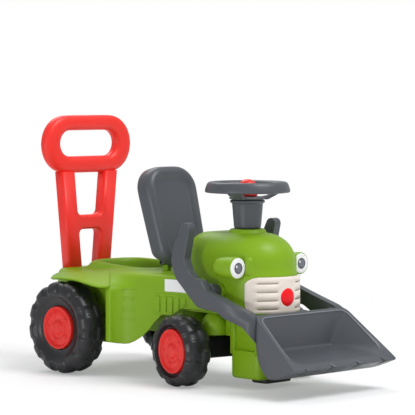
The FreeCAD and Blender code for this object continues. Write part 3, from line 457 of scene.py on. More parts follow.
def bodySkin():
    shape = bodyShape
    lower = len(shape["rows"])
    upper = lower + len(shape["crown"])
    hoop = upper + len(shape["collar"])

    def calmPlan(column):  # the plan without the wing that stands out before the wheel
        step = column - shape["calmFirst"]
        if 0 <= step < len(shape["calmX"]):
            return shape["calmX"][step], shape["flank"]
        return shape["plan"][column][0], min(shape["plan"][column][1], shape["flank"])

    def place(column, row):
        x, y = shape["plan"][column]
        calmX, calmY = calmPlan(column)
        if row < lower:
            sill = along(shape["sill"], x) + max(0.0, y - calmY) * shape["sillFlare"]
            return at(x, y, sill + (shape["wallTop"] - sill) * shape["rows"][row])
        if row < upper:
            height, keep, inset = shape["crown"][row - lower]
            fall = (height - shape["fallFrom"]) / (shape["deck"] - shape["fallFrom"])
            height -= along(shape["deckFall"], x) * fall  # the deck lies lower behind the bin
            x, y = calmX + (x - calmX) * keep, calmY + (y - calmY) * keep
            spineRear, spineFront = shape["spine"]
            inward = Vector((max(spineRear, min(spineFront, x)) - x, -y))
            if inward.length > 0.01:
                inward.normalize()
            return at(x + inward.x * inset, max(0, y + inward.y * inset), height)
        ring = shape["collar"][row - upper] if row < hoop else shape["bin"][row - hoop]
        rear, front, halfWide, height = ring
        middle, halfLong = (rear + front) / 2, (front - rear) / 2
        angle = atan2(calmY, calmX - middle)
        if halfWide == 0:
            return at(middle + halfLong * cos(angle), 0, height)
        reach = squircle(cos(angle) / halfLong, sin(angle) / halfWide, shape["squareness"])
        spot = middle + reach * cos(angle)
        if row < hoop:
            deck = shape["deck"] - along(shape["deckFall"], spot)
            height = deck + (along(shape["crest"], spot) - deck) * height
        return at(spot, reach * sin(angle), height)

    return mirroredCopy(draped(len(shape["plan"]), hoop + len(shape["bin"]), place))


piece(bodySkin(), "bodySkin", *greenBody, ["rear_body", "cowl"], levels=1,
      wall=bodyShape["wall"])

stepShape = {
    "rear": 117.5, "front": 148, "rows": [(147, 162), (126, 143), (106, 122)], "corner": 4, "bend": 1.2,
    "pitch": 4, "steps": 7, "relief": 1.2, "upright": (0.5, 0.866, 0), "flankFrom": 110.8,
}


def stepFrames():  # faint frames moulded into the flank, one above the other
    shape = stepShape
    flank = [(x, y) for x, y in bodyShape["plan"] if x >= shape["flankFrom"]]
    rear, corner, bend = shape["rear"], shape["corner"], shape["bend"]
    run = [shape["front"] - shape["pitch"] * step for step in range(shape["steps"])]
    frames = bmesh.new()
    for low, high in shape["rows"]:
        line = [(x, high) for x in run]
        line += [(rear + bend, high - bend), (rear, high - corner), (rear, (low + high) / 2)]
        line += [(rear, low + corner), (rear + bend, low + bend)] + [(x, low) for x in reversed(run)]
        spots = [Vector((x, along(flank, x), z)) for x, z in line]
        added(frames, bead(spots, Vector(shape["upright"]), shape["relief"]))
    return mirroredCopy(frames)


piece(stepFrames(), "stepFrames", *greenBody, levels=1)

bossShape = {"radius": 14, "reach": 109.4, "root": 92, "bore": 5.4}


def axleBosses():
    radius, reach, root, bore = bossShape.values()
    bm = turned([(bore, reach), (11.5, reach), (13.4, reach - 1.2), (radius, reach - 4), (14.6, root),
                 (bore, root)], 40, closed=True)
    height = wheelSizes["rear"]["radius"]
    return mirroredCopy(placed(bm, at(0, 0, height), -pi / 2, "X"))


piece(axleBosses(), "axleBosses", *greenBody, levels=1)

hingeAt = {"x": 154, "z": 207.6, "lug": [(-7.5, -24), (7.5, -24), (5.5, 5.5), (-5.5, 5.5)],
           "lugStart": 24, "lugWidth": 10, "lugRound": 5, "lugEdge": 1.2}


def hingeLugs():
    shape = hingeAt
    outline = [at(shape["x"] + dx, shape["lugStart"], shape["z"] + dz) for dx, dz in shape["lug"]]
    bm = slab(outline, (0, shape["lugWidth"], 0))

    def roundOf(edge):
        onTop = runsAlong(edge, 1) and middleOf(edge).z > shape["z"]
        return shape["lugRound"] if onTop else shape["lugEdge"]

    return mirroredCopy(weighed(bm, roundOf))


piece(hingeLugs(), "hingeLugs", *greenBody, segments=4)

ventShape = {
    "start": 186, "flank": 92.4, "length": 86, "low": 119, "high": 158, "root": -4, "face": 2.2,
    "edge": 2.6, "lean": -5.4, "clear": (42, 141), "ribs": 5, "rib": 10.6, "ribFace": 4.6,
    "ribLows": [124, 124, 124, 129, 140], "ribEdge": 1.9, "margin": 5,
}


def ventPanel():
    shape = ventShape
    length, low, high, root = shape["length"], shape["low"], shape["high"], shape["root"]
    clearFrom, clearHeight = shape["clear"]  # a corner is cut off for the turned wheel
    outline = [(0, low), (clearFrom, low), (length, clearHeight), (length, high), (0, high)]
    bm = slab([at(x, root, z) for x, z in outline], (0, shape["face"] - root, 0))
    weighed(bm, lambda edge: shape["edge"])
    pitch = (length - 2 * shape["margin"]) / shape["ribs"]
    for index, ribLow in enumerate(shape["ribLows"]):
        start = shape["margin"] + pitch * index + (pitch - shape["rib"]) / 2
        ribHigh = high - shape["margin"]
        rib = block((start, root, ribLow), (start + shape["rib"], shape["ribFace"], ribHigh))
        added(bm, weighed(rib, lambda edge: shape["ribEdge"]))
    lean = Matrix.Rotation(radians(shape["lean"]), 4, "Z")
    corner = at(shape["start"], shape["flank"], 0)
    return moved(bm, Matrix.Translation(corner) @ lean @ Matrix.Translation(-at(0, 0, 0)))


piece(mirroredCopy(ventPanel()), "ventPanels", *greenBody, segments=3)
print("rear body made")

guardShape = {
    "stations": [((-108, 82, 168), (-64, 122, 168)), ((-98, 82, 173.6), (-57, 131, 171.4)),
                 ((-70, 82, 179.6), (-36, 146, 174.6)), ((-30, 83, 183), (-5, 151, 177.6)),
                 ((0, 84, 185.2), (20, 152, 178.4)), ((20, 86, 187), (42, 151.5, 177.2)),
                 ((32, 87, 188.8), (66, 151, 173)), ((43, 88, 190.4), (88, 148, 168)),
                 ((53, 87.4, 191.2), (103, 140, 167)), ((62, 87, 191.6), (112.6, 131.8, 168.2))],
    "bulge": [0.6, 2.4, 4.6, 5.4, 5.6, 5.2, 4.2, 3.0, 1.8, 0.8],
    "shares": [0, 0.14, 0.3, 0.5, 0.7, 0.88, 1.0], "bulgeReach": 1.15, "wall": 5.4,
}


def guardSkin(sign):
    shape = guardShape

    def place(column, row):
        inner, outer = shape["stations"][column]
        share = shape["shares"][row]
        point = [a + (b - a) * share for a, b in zip(inner, outer)]
        lift = shape["bulge"][column] * sin(pi * min(1.0, share * shape["bulgeReach"]))
        return at(point[0], sign * point[1], point[2] + lift)

    bm = draped(len(shape["stations"]), len(shape["shares"]), place)
    bmesh.ops.recalc_face_normals(bm, faces=bm.faces)
    if sum(face.normal.z for face in bm.faces) < 0:
        bmesh.ops.reverse_faces(bm, faces=bm.faces)
    bmesh.ops.solidify(bm, geom=bm.faces[:], thickness=shape["wall"] / 1000)
    return bm


for side, sign in sides.items():
    piece(guardSkin(sign), "mudguard." + side, *greenBody, ["mudguard_" + side], levels=2)
print("mudguards made")


# hood, collar and lamps

hoodShape = {
    "rear": 226, "front": 429, "half": 71, "low": 133, "top": 269, "rearCorner": 46, "noseCorner": 66,
    "rollIn": [(226, 36), (272, 38), (340, 46), (372, 52), (430, 55)],
    "rollDown": [(226, 36), (272, 38), (340, 44), (372, 48), (430, 48)],
    "setBack": [(226, 0), (340, 0), (380, 4), (400, 6.2), (430, 6.2)], "setFrom": (194.4, 200),
    "levels": [0.0, 0.03, 0.4, 0.695, 0.77, 1.0], "roll": [0, 12, 26, 40, 54, 68, 80, 90],
    "fill": [0.4, 0.75, 1.0], "spine": (300, 360), "gather": 0.6, "wall": 3.0,
}


def hoodPlan():  # half of the plan: each place with the way inwards
    shape = hoodShape
    rear, front, half = shape["rear"], shape["front"], shape["half"]
    rearRound, noseRound = shape["rearCorner"], shape["noseCorner"]
    spots = [((rear, 0), (1, 0)), ((rear, (half - rearRound) * 0.6), (1, 0))]

    def corner(x, radius, start, steps):
        for step in range(steps + 1):
            angle = start - pi / 2 * step / steps
            out = (cos(angle), sin(angle))
            spot = (x + radius * out[0], half - radius + radius * out[1])
            spots.append((spot, (-out[0], -out[1])))

    corner(rear + rearRound, rearRound, pi, 8)
    for share in (0.25, 0.5, 0.75):
        x = rear + rearRound + (front - noseRound - rear - rearRound) * share
        spots.append(((x, half), (0, -1)))
    corner(front - noseRound, noseRound, pi / 2, 11)
    spots.append(((front, 0), (-1, 0)))
    return spots


def hood():
    shape = hoodShape
    plan = hoodPlan()
    lower = len(shape["levels"])
    upper = lower + len(shape["roll"]) - 1

    def setBack(x, height):  # the nose stands back above the grille
        low, high = shape["setFrom"]
        return along(shape["setBack"], x) * max(0.0, min(1.0, (height - low) / (high - low)))

    def place(column, row):
        (x, y), (inX, inY) = plan[column]
        rollIn, rollDown = along(shape["rollIn"], x), along(shape["rollDown"], x)
        if row < lower:
            height = shape["low"] + (shape["top"] - rollDown - shape["low"]) * shape["levels"][row]
            inset = setBack(x, height)
            return at(x + inX * inset, max(0.0, y + inY * inset), height)
        turn = radians(shape["roll"][min(row - lower + 1, len(shape["roll"]) - 1)])
        inset = rollIn * (1 - cos(turn))
        height = shape["top"] - rollDown * (1 - sin(turn))
        inset += setBack(x, height)
        x, y = x + inX * inset, max(0.0, y + inY * inset)
        if row < upper:
            return at(x, y, height)
        share = shape["fill"][row - upper]
        spineRear, spineFront = shape["spine"]
        x += (max(spineRear, min(spineFront, x)) - x) * share * shape["gather"]
        return at(x, y * (1 - share), height)

    return mirroredCopy(draped(len(plan), upper + len(shape["fill"]), place))


piece(hood(), "hood", *greenBody, ["hood"], levels=1, wall=hoodShape["wall"])

collar = turned([(38, 266), (35, 268.6), (33, 271), (32, 274), (30.6, 275.6), (28, 276), (26, 275.4),
                 (25.6, 270)], 48)
moved(collar, Matrix.Translation(at(steerAt["x"], 0, 0)))
piece(collar, "steeringCollar", *greenBody, levels=1)

lampShape = {"x": 387, "y": 80, "z": 212.6, "radius": 20, "length": 52, "lens": 18, "iris": 9.8,
             "web": ((342, 44, 194), (398, 63, 232)), "webRound": 9,
             "glint": {"proud": 2.4, "across": 4.6, "up": 3.0}, "glintRadius": 2.1}


def lamp(side, sign):
    shape = lampShape
    wide, tail, lens, iris, dot = (shape["radius"], -shape["length"], shape["lens"], shape["iris"],
                                   shape["glintRadius"])

    def facing(bm, proud=0, across=0, up=0):  # turned to the front and put in its place
        spot = at(shape["x"] + proud, sign * shape["y"] - across, shape["z"] + up)
        return placed(bm, spot, pi / 2, "Y")

    drum = turned([(0, tail), (9, tail + 0.8), (14.6, tail + 4.4), (17.2, -40), (18.6, -26), (19.8, -9),
                   (wide, -3), (wide - 0.2, -1), (wide - 0.9, 0), (lens, -0.1), (0, -0.4)], 48)
    piece(facing(drum), "lampDrum." + side, *greenBody, levels=1)
    (x0, y0, z0), (x1, y1, z1) = shape["web"]
    web = block((x0, min(sign * y0, sign * y1), z0), (x1, max(sign * y0, sign * y1), z1))
    weighed(web, lambda edge: shape["webRound"])
    piece(web, "lampWeb." + side, *greenBody, segments=5)
    face = turned([(0, 1.9), (8, 1.8), (14.4, 1.3), (17, 0.9), (lens, 0.3), (lens - 0.1, -0.4)], 48)
    piece(facing(face), "lampLens." + side, "chassis", "white_film", ["lamp_lens_" + side], levels=1)
    ring = turned([(iris - 2.4, 2.0), (iris - 2.2, 2.3), (iris - 0.6, 2.2), (iris, 1.9), (iris, 1.2)], 40)
    piece(facing(ring), "irisRing." + side, "chassis", "grey_film", finish="iris_edge")
    disc = turned([(0, 2.3), (4, 2.25), (iris - 2.2, 2.1), (iris - 2.2, 1.2)], 40)
    piece(facing(disc), "lampIris." + side, "chassis", "grey_film", ["lamp_iris_" + side], levels=1)
    glint = turned([(0, 0.5), (dot * 0.7, 0.4), (dot, 0.0), (dot, -0.5)], 24)
    piece(facing(glint, **shape["glint"]), "lampGlint." + side, "chassis", "white_film")


for side, sign in sides.items():
    lamp(side, sign)
print("hood made")


# grille wrapped around the nose, with a plain red disc

grilleShape = {
    "low": 132, "high": 196, "corner": 14, "proud": 2.0, "groove": 1.3, "edge": 1.3, "shadeLift": 0.25,
    "slots": [139.6, 154.6, 169.8, 184.8], "slotHalf": 0.9, "slotEdge": 0.8, "inner": 21, "outer": 54,
}


def onNose(y, lift, z):  # a place on the rounded nose, raised by lift
    radius = hoodShape["noseCorner"]
    nose = hoodShape["front"] - radius
    over = max(0.0, abs(y) - (hoodShape["half"] - radius))
    x = nose + sqrt(radius ** 2 - over ** 2)
    outward = Vector((x - nose, copysign(over, y))).normalized()
    return at(x + outward.x * lift, y + outward.y * lift, z)


def grilleSheet():
    shape = grilleShape
    low, high, corner = shape["low"], shape["high"], shape["corner"]
    inner, outer, half, edge = shape["inner"], shape["outer"], shape["slotHalf"], shape["slotEdge"]
    columns = [0, 7, 14, inner - edge, inner + edge, 30, 38, 46]
    columns += [outer - edge, outer + edge, 59.5, 63, 65.4]
    columns = bothWays(columns)
    levels = [low, low + 1.6, low + 4]
    for slot in shape["slots"]:
        levels += [slot - half - edge, slot - half, slot + half, slot + half + edge]
    levels += [high - 6, high - 1.6, high]

    def place(column, row):
        y, z = columns[column], levels[row]
        gap = min(z - low, high - z)
        cut = max(0.0, corner - gap)
        narrow = corner - sqrt(corner ** 2 - cut ** 2)
        share = y / columns[-1]
        lift = shape["proud"]
        inSlot = any(abs(z - slot) < half + 0.1 for slot in shape["slots"])
        if inSlot and inner < abs(y) < outer:
            lift -= shape["groove"]
        if gap < 0.1 or abs(share) > 0.999:
            lift -= shape["edge"]
        return onNose(y * (1 - narrow / columns[-1] * abs(share)), lift, z)

    return draped(len(columns), len(levels), place)


def grilleSlotShade():  # thin strips of painted shade in the grooves
    shape = grilleShape
    steps = 9
    start, run = shape["inner"] + 1, shape["outer"] - shape["inner"] - 2
    lift = shape["proud"] - shape["groove"] + shape["shadeLift"]
    bm = bmesh.new()
    for slot in shape["slots"]:
        for sign in sides.values():
            def place(column, row):
                y = sign * (start + run * column / (steps - 1))
                return onNose(y, lift, slot + shape["slotHalf"] * (1.6 * row - 0.5))
            added(bm, draped(steps, 2, place))
    return bm


piece(grilleSheet(), "grilleSheet", "chassis", "cream_plastic", ["grille"])
# painted shade: dark strips in the grooves, not a real part of the grille
piece(grilleSlotShade(), "grilleSlotShade", "chassis", "cream_plastic", finish="painted_slot_shade")
badgeAt = {"proud": 0.8, "height": 160}
badge = turned([(0, 4.6), (6, 4.3), (11, 3.4), (14.6, 2.2), (16.4, 1.0), (16.7, -0.4)], 48)
placed(badge, at(hoodShape["front"] + badgeAt["proud"], 0, badgeAt["height"]), pi / 2, "Y")
piece(badge, "grilleBadge", "chassis", "red_plastic", ["grille_badge"], levels=1, finish="badge_red")
print("grille made")


# apron under the nose: a proud lower box, an inset panel above it and corner ribs

apronShape = {"low": ((350, -64, 17), (424, 64, 67)), "lowCorner": 12, "footRound": 7, "shelfRound": 1.6,
              "high": ((353.5, -60.4, 60), (420.5, 60.4, 129)), "highCorner": 11,
              "ribs": [((350.4, 52, 60), (364, 64, 128)), ((410, 50, 60), (423.6, 64, 128))],
              "ribCorner": 3.5, "fill": ((334, 30, 90), (353, 60, 133)), "fillCorner": 6}


def uprightBlock(ends, radius, segments):  # a box with its upright edges rounded
    return softened(block(*ends), lambda edge: runsAlong(edge, 2), radius, segments)


def apron():
    shape = apronShape
    bm = uprightBlock(shape["low"], shape["lowCorner"], 5)
    foot, shelf = shape["low"][0][2], shape["low"][1][2]
    softened(bm, lambda edge: middleOf(edge).z < foot + 0.5, shape["footRound"], 4)
    softened(bm, lambda edge: middleOf(edge).z > shelf - 0.5, shape["shelfRound"], 2)
    added(bm, uprightBlock(shape["high"], shape["highCorner"], 5))
    for ends in shape["ribs"]:
        added(bm, mirroredCopy(uprightBlock(ends, shape["ribCorner"], 3)))
    return bm


piece(apron(), "apron", *greenBody, ["front_apron"])
piece(mirroredCopy(uprightBlock(apronShape["fill"], apronShape["fillCorner"], 4)), "apronRoot", *greenBody)
print("apron made")


# seat lid, drawn closed and opened about its hinge

lidShape = {
    "rear": -23, "front": 166.6, "rearHalf": 66, "frontHalf": 57, "rearCorner": 44, "frontCorner": 38,
    "cornerSteps": 7, "low": 202.6, "lift": 16, "liftX": (138, 161), "liftTop": 221, "open": 74,
    "wall": 3.2,
    "rings": [(0, 0, 202.6), (0, 0, 204), (0, 0, 213), (0.5, 0, 221), (2.2, 0, 227.4), (5.4, 0, 232),
              (10, 0, 234.8), (14.5, 0, 235.4), (18, 0, 234.4), (20, 0.04, 231.6), (20, 0.09, 229.6),
              (20, 0.16, 228.9), (20, 0.45, 228.5), (20, 0.8, 228.3), (20, 1.0, 228.2)],
    "ears": [(142, 226), (142, 206), (145, 203), (156, 203), (159, 206), (159, 210), (154, 226)],
    "earStarts": (34.4, -44.4), "earWidth": 10, "earEdge": 1.2,
}


def lidOutline():
    shape = lidShape
    rear, front, steps = shape["rear"], shape["front"], shape["cornerSteps"]
    arcs = filleted([(rear, -shape["rearHalf"], shape["rearCorner"]),
                     (front, -shape["frontHalf"], shape["frontCorner"]),
                     (front, shape["frontHalf"], shape["frontCorner"]),
                     (rear, shape["rearHalf"], shape["rearCorner"])], steps)
    spots = []
    for index, (spot, inward) in enumerate(arcs):
        spots.append((spot, inward))
        if index % (steps + 1) == steps:  # a place half way along each straight side
            spots.append(((spot + arcs[(index + 1) % len(arcs)][0]) / 2, inward))
    return spots


def opened():
    return about(at(hingeAt["x"], 0, hingeAt["z"]), lidShape["open"], "Y")


def rimLift(x):  # the rim rises towards the hinge, to stay clear of the lugs
    start, end = lidShape["liftX"]
    share = min(max((x - start) / (end - start), 0), 1)
    return lidShape["lift"] * share * share * (3 - 2 * share)


def seatLid():
    shape = lidShape
    outline = lidOutline()
    centre = Vector(((shape["rear"] + shape["front"]) / 2, 0))

    def place(column, row):
        spot, inward = outline[column % len(outline)]
        inset, pull, height = shape["rings"][row]
        share = max(0, shape["liftTop"] - height) / (shape["liftTop"] - shape["low"])
        height += rimLift(spot.x) * share
        spot = spot + inward * inset
        spot = spot + (centre - spot) * pull
        return at(spot.x, spot.y, height)

    bm = draped(len(outline) + 1, len(shape["rings"]), place)
    return moved(bm, opened())


def lidEars():
    shape = lidShape
    bm = bmesh.new()
    for start in shape["earStarts"]:
        ear = slab([at(x, start, z) for x, z in shape["ears"]], (0, shape["earWidth"], 0))
        added(bm, weighed(ear, lambda edge: shape["earEdge"]))
    return moved(bm, opened())


piece(seatLid(), "seatLid", "seat", "grey_plastic", ["seat_lid"], levels=2, wall=lidShape["wall"])
piece(lidEars(), "lidEars", "seat", "grey_plastic", segments=3)
print("seat made")


# push handle: a stadium loop on a pair of legs with a crossbar

handleShape = {
    "x": -102, "depth": 26, "outer": (109, 364, 474, 53), "hole": (70, 396, 445, 24.4), "squareness": 3.1,
    "around": 48, "section": 16, "merge": 0.1, "legFoot": 150, "legTop": 367, "legWidth": 33,
    "footSpread": 33, "topSpread": 54, "barLow": 256, "barHigh": 283, "corner": 10, "round": 6,
}


def stadium(half, low, high, radius, share):  # a place on a rounded frame, from its turn
    corners = [(half - radius, high - radius), (radius - half, high - radius),
               (radius - half, low + radius), (half - radius, low + radius)]
    turn = share * 4
    index = int(turn) % 4
    inside = turn - int(turn)
    y, z = corners[index]
    if inside < 0.5:
        angle = pi / 2 * (index + inside * 2)
    else:
        angle = pi / 2 * (index + 1)
        nextY, nextZ = corners[(index + 1) % 4]
        step = (inside - 0.5) * 2
        y, z = y + (nextY - y) * step, z + (nextZ - z) * step
    return y + radius * cos(angle), z + radius * sin(angle)


def handleLoop():
    shape = handleShape
    around, section = shape["around"], shape["section"]

    def place(column, row):
        share = (column % around) / around
        outer = Vector(stadium(*shape["outer"], share))
        inner = Vector(stadium(*shape["hole"], share))
        angle = tau * (row % section) / section
        x, out = cos(angle), sin(angle)
        stretch = squircle(x, out, shape["squareness"])
        spot = (outer + inner) / 2 + (outer - inner) / 2 * out * stretch
        return at(shape["x"] + x * stretch * shape["depth"] / 2, spot.x, spot.y)

    bm = draped(around + 1, section + 1, place)
    bmesh.ops.remove_doubles(bm, verts=bm.verts, dist=shape["merge"] / 1000)
    return bm


def handleLadder():
    shape = handleShape
    foot, top, low, high = shape["legFoot"], shape["legTop"], shape["barLow"], shape["barHigh"]
    half = shape["legWidth"] / 2
    slope = (shape["topSpread"] - shape["footSpread"]) / (shape["outer"][1] - foot)

    def corner(z, side):
        return shape["footSpread"] + slope * (z - foot) + side * half, z

    points = [corner(low, -1), corner(foot, -1), corner(foot, 1)]
    points += [corner(top, 1), corner(top, -1), corner(high, -1)]
    outline = points + [(-y, z) for y, z in reversed(points)]
    back = shape["x"] - shape["depth"] / 2
    bm = slab([at(back, y, z) for y, z in outline], (shape["depth"], 0, 0))

    def barEdge(edge):
        height = middleOf(edge).z
        return runsAlong(edge, 0) and min(abs(height - low), abs(height - high)) < 0.5

    def faceEdge(edge):
        spot = middleOf(edge)
        onFace = min(abs(spot.x - back), abs(spot.x - back - shape["depth"])) < 0.05
        return onFace and foot + 0.5 < spot.z < top - 0.5

    softened(bm, barEdge, shape["corner"], 5)
    return softened(bm, faceEdge, shape["round"], 5)


# the handle takes the lighter copy of the red plastic, painted light
piece(handleLoop(), "handleLoop", "chassis", "red_plastic", ["push_handle"], levels=2, finish="handle_painted_light_red")
piece(handleLadder(), "handleLadder", "chassis", "red_plastic", finish="handle_painted_light_red")
print("handle made")


# steering wheel, column and horn

wheelRim = {
    "rim": [(76.4, 342.6), (75.8, 346), (73.2, 354.6), (70.6, 358.6), (66, 360), (61, 358.8), (57.4, 355.4),
            (55.4, 350), (56.6, 344.4), (60, 341), (66, 340.2), (72.4, 340), (75.4, 340.6)],
    "hub": [(6.2, 327.7), (29, 327.7), (32, 328.4), (33.4, 330.4), (32.4, 332.6), (28, 333.2),
            (6.2, 333.2)],
    "spoke": [(24, 327.9), (36, 327.9), (66, 344), (66, 349.6), (58, 349), (35, 335), (24, 333)],
    "spokes": 3, "spokeWidth": 20, "spokeRound": 2.0,
    "column": [(6.2, 276.6), (22.5, 276.6), (24, 277.4), (24.4, 281), (26.2, 303), (27.6, 320), (28, 321.4),
               (30.6, 322), (31.2, 323.4), (31, 326.4), (30.2, 327.2), (6.2, 327.2)],
    "cup": [(6.2, 333.6), (17, 333.6), (18, 334.4), (18, 349.2), (17.4, 350.2), (16.4, 350.2), (16, 349.4),
            (16, 335.6), (6.2, 335.6)],
    "button": [(0, 364), (5.6, 363.5), (11, 361.2), (14.6, 357), (15.6, 352), (15.5, 347.8), (11.3, 347.6),
               (11.1, 350.6), (0, 350.8)],
}


def onShaft(bm):
    return moved(bm, steered() @ Matrix.Translation(at(steerAt["x"], 0, 0)))


rimRing = added(turned(wheelRim["rim"], 64, closed=True), turned(wheelRim["hub"], 48, closed=True))
piece(onShaft(rimRing), "steeringRim", *greySteering, ["steering_wheel"], levels=1)
spokeSet = bmesh.new()
for index in range(wheelRim["spokes"]):
    width = wheelRim["spokeWidth"]
    bar = slab([Vector((r, -width / 2, z)) / 1000 for r, z in wheelRim["spoke"]], (0, width, 0))
    weighed(bar, lambda edge: wheelRim["spokeRound"])
    added(spokeSet, moved(bar, Matrix.Rotation(tau * index / wheelRim["spokes"] + pi, 4, "Z")))
piece(onShaft(spokeSet), "steeringSpokes", *greySteering, segments=3)
column = turned(wheelRim["column"], 48, closed=True)
piece(onShaft(column), "steeringColumn", *greySteering, ["steering_column"], levels=1)
cup = turned(wheelRim["cup"], 40, closed=True)
piece(onShaft(cup), "hornCup", "steering", "red_plastic", ["horn_cup"], levels=1)
button = turned(wheelRim["button"], 40)
piece(onShaft(button), "hornButton", "horn", "red_plastic", ["horn_button"], levels=1)
print("steering made")


# loader arms

armShape = {
    "outline": [(285, 289, 12), (263, 246, 40), (256, 220, 18), (267.7, 190, 30), (322, 142.6, 25),
                (352, 139, 20), (373.4, 136, 15), (390, 127, 15), (432, 116, 20), (464.5, 92, 0),
                (464.5, 132, 0), (446, 141, 10), (402, 154, 40), (345.4, 172, 12), (331.7, 190, 8),
                (312, 193, 10), (298, 207, 10), (290.3, 225, 12), (302.8, 277, 10), (304.4, 289, 10)],
    "end": 464, "inner": 100, "outer": 117, "outerRound": 4.2, "innerRound": 2.0,
    "gusset": [(461, 66), (461, 105), (425, 105), (425, 101), (436, 98), (447, 91), (455, 80)],
    "gussetLow": 112, "gussetHigh": 136, "gussetRound": 2.0, "pivot": (334, 0, 170),
    "hub": [(6.2, 79.6), (12, 79.6), (13.2, 80.8), (13.4, 84), (14.5, 101), (6.2, 101)],
    "boss": [(6.2, 66), (6.2, 79), (12, 79), (13.4, 77.6), (13.8, 74), (15.5, 66)],
}


def loaderArm(sign):
    shape = armShape
    outline = [at(spot.x, sign * shape["inner"], spot.y) for spot, inward in filleted(shape["outline"], 5)]
    bm = slab(outline, (0, sign * (shape["outer"] - shape["inner"]), 0))

    def roundOf(edge):
        spot = middleOf(edge)
        if spot.x > shape["end"] or runsAlong(edge, 1):
            return 0
        return shape["outerRound"] if abs(spot.y) > shape["outer"] - 1 else shape["innerRound"]

    return weighed(bm, roundOf)


def armGusset(sign):
    shape = armShape
    low, high = shape["gussetLow"], shape["gussetHigh"]
    bm = slab([at(x, sign * y, low) for x, y in shape["gusset"]], (0, 0, high - low))
    return weighed(bm, lambda edge: 0 if runsAlong(edge, 2) else shape["gussetRound"])


def onPivot(profile, sign):
    return placed(turned(profile, 40, closed=True), at(*armShape["pivot"]), -sign * pi / 2, "X")


for side, sign in sides.items():
    piece(loaderArm(sign), "loaderArm." + side, *greyLoader, ["loader_arm_" + side], segments=3)
    piece(armGusset(sign), "armGusset." + side, *greyLoader, segments=3)
    piece(onPivot(armShape["hub"], sign), "armHub." + side, *greyLoader, levels=1)
    piece(onPivot(armShape["boss"], sign), "pivotBoss." + side, *greenBody, levels=1)
print("arms made")


# bucket

bucketShape = {
    "inner": ((467, 133.4, 107.5), (556, 60.6, 119)), "outer": ((461, 138, 115), (573, 52, 131.5)),
    "innerRounds": (14, 30), "outerRounds": (12, 4), "cornerFade": 0.4, "bead": 0.8,
    "deep": (468, 74, 68), "depths": [1.0, 0.9, 0.7, 0.4, 0.15, 0.04, 0.0], "rim": [0.25, 0.85],
    "back": [(461, 138), (461, 128), (461, 100), (462.4, 80), (467, 63), (475.6, 48), (487, 38), (500, 33)],
    "sole": [(573, 52), (566, 49.2), (548, 42.2), (532, 36.4), (521, 33.6), (513, 32.4), (506, 32.4),
             (500, 33)],
    "walls": [0, 0.07, 0.28, 0.5, 0.68, 0.83, 0.94, 1.0],
    "across": [0.0, 0.225, 0.244, 0.262, 0.28, 0.5, 0.735, 0.754, 0.772, 0.79, 0.86, 0.93, 1.0],
    "down": [0.05, 0.1, 0.17, 0.3, 0.5, 0.68, 0.76, 0.83, 0.9, 0.96],
    "lip": 1.3, "notches": [0.763, 0.253], "notchReach": 0.012, "notchDepth": [0, 7, 14, 7],
}


def onMouth(ends, rounds, across, down):  # a place on the rounded frame of the mouth
    (x0, z0, half0), (x1, z1, half1) = ends
    half, length = (half0 + half1) / 2, hypot(x1 - x0, z1 - z0)
    radius = rounds[0] if down < 0.5 else rounds[1]
    gapAcross, gapDown = (1 - abs(across)) * half, min(down, 1 - down) * length
    if gapAcross + gapDown < radius:
        turn = pi / 4 * (1 - (gapAcross + gapDown) / radius)
        far, near = radius * (1 - sin(turn)), radius * (1 - cos(turn))
        alongEdge = gapDown == 0
        gapAcross, gapDown = (far, near) if alongEdge else (near, far)
        across = copysign(1 - gapAcross / half, across)
        down = gapDown / length if down < 0.5 else 1 - gapDown / length
    wide = half0 + (half1 - half0) * down
    return Vector((x0 + (x1 - x0) * down, across * wide, z0 + (z1 - z0) * down))


def bucketSkin():  # rings from the bottom of the hollow over the rim to the keel
    shape = bucketShape
    across = bothWays(shape["across"])
    loop = [(share, 0.0) for share in across] + [(1.0, share) for share in shape["down"]]
    loop += [(share, 1.0) for share in reversed(across)]
    loop += [(-1.0, share) for share in reversed(shape["down"])]
    hollow = len(shape["depths"])
    edge = hollow + len(shape["rim"])

    def onShell(share, x, z):  # a place on the outside, which widens to the front
        (x0, _, half0), (x1, _, half1) = shape["outer"]
        return Vector((x, share * (half0 + (half1 - half0) * (x - x0) / (x1 - x0)), z))

    def belowEdge(share, down, outer, step):
        if 0 < down < 1:
            keelX, keelZ = shape["back"][-1]
            wall = shape["walls"][step]
            x, z = outer.x + (keelX - outer.x) * wall, outer.z + (keelZ - outer.z) * wall
            return onShell(share, x, z) if step else outer
        path = shape["back"] if down == 0 else shape["sole"]
        stay = max(0.0, 1 - step * shape["cornerFade"])  # the rounded corners fade below the edge
        return onShell(share, *path[step]) + (outer - onShell(share, *path[0])) * stay

    def place(column, row):
        share, down = loop[column % len(loop)]
        inner = onMouth(shape["inner"], shape["innerRounds"], share, down)
        outer = onMouth(shape["outer"], shape["outerRounds"], share, down)
        if row < hollow:
            deepX, deepZ, deepHalf = shape["deep"]
            spot = inner.lerp(Vector((deepX, share * deepHalf, deepZ)), shape["depths"][row])
        elif row < edge:
            spot = inner.lerp(outer, shape["rim"][row - hollow])
            spot.z += shape["bead"] * (row == hollow)
        else:
            spot = belowEdge(share, down, outer, row - edge)
        nearNotch = any(abs(abs(share) - notch) < shape["notchReach"] for notch in shape["notches"])
        if down == 1 and nearNotch and hollow <= row < hollow + len(shape["notchDepth"]):
            spot.x -= shape["notchDepth"][row - hollow]
        return at(*spot)

    return draped(len(loop) + 1, edge + len(shape["back"]), place)


def bucketBead():  # a slim bead along the back and side edges of the mouth, in a lighter grey that is a painted highlight
    shape = bucketShape
    path = [(-1.0, share) for share in reversed(shape["down"])]
    path += [(share, 0.0) for share in bothWays(shape["across"])]
    path += [(1.0, share) for share in shape["down"]]
    spots = [onMouth(shape["inner"], shape["innerRounds"], share, down) for share, down in path]
    (x0, z0, _), (x1, z1, _) = shape["inner"]
    upright = Vector((z0 - z1, 0, x1 - x0)).normalized()
    return bead(spots, upright, shape["lip"])


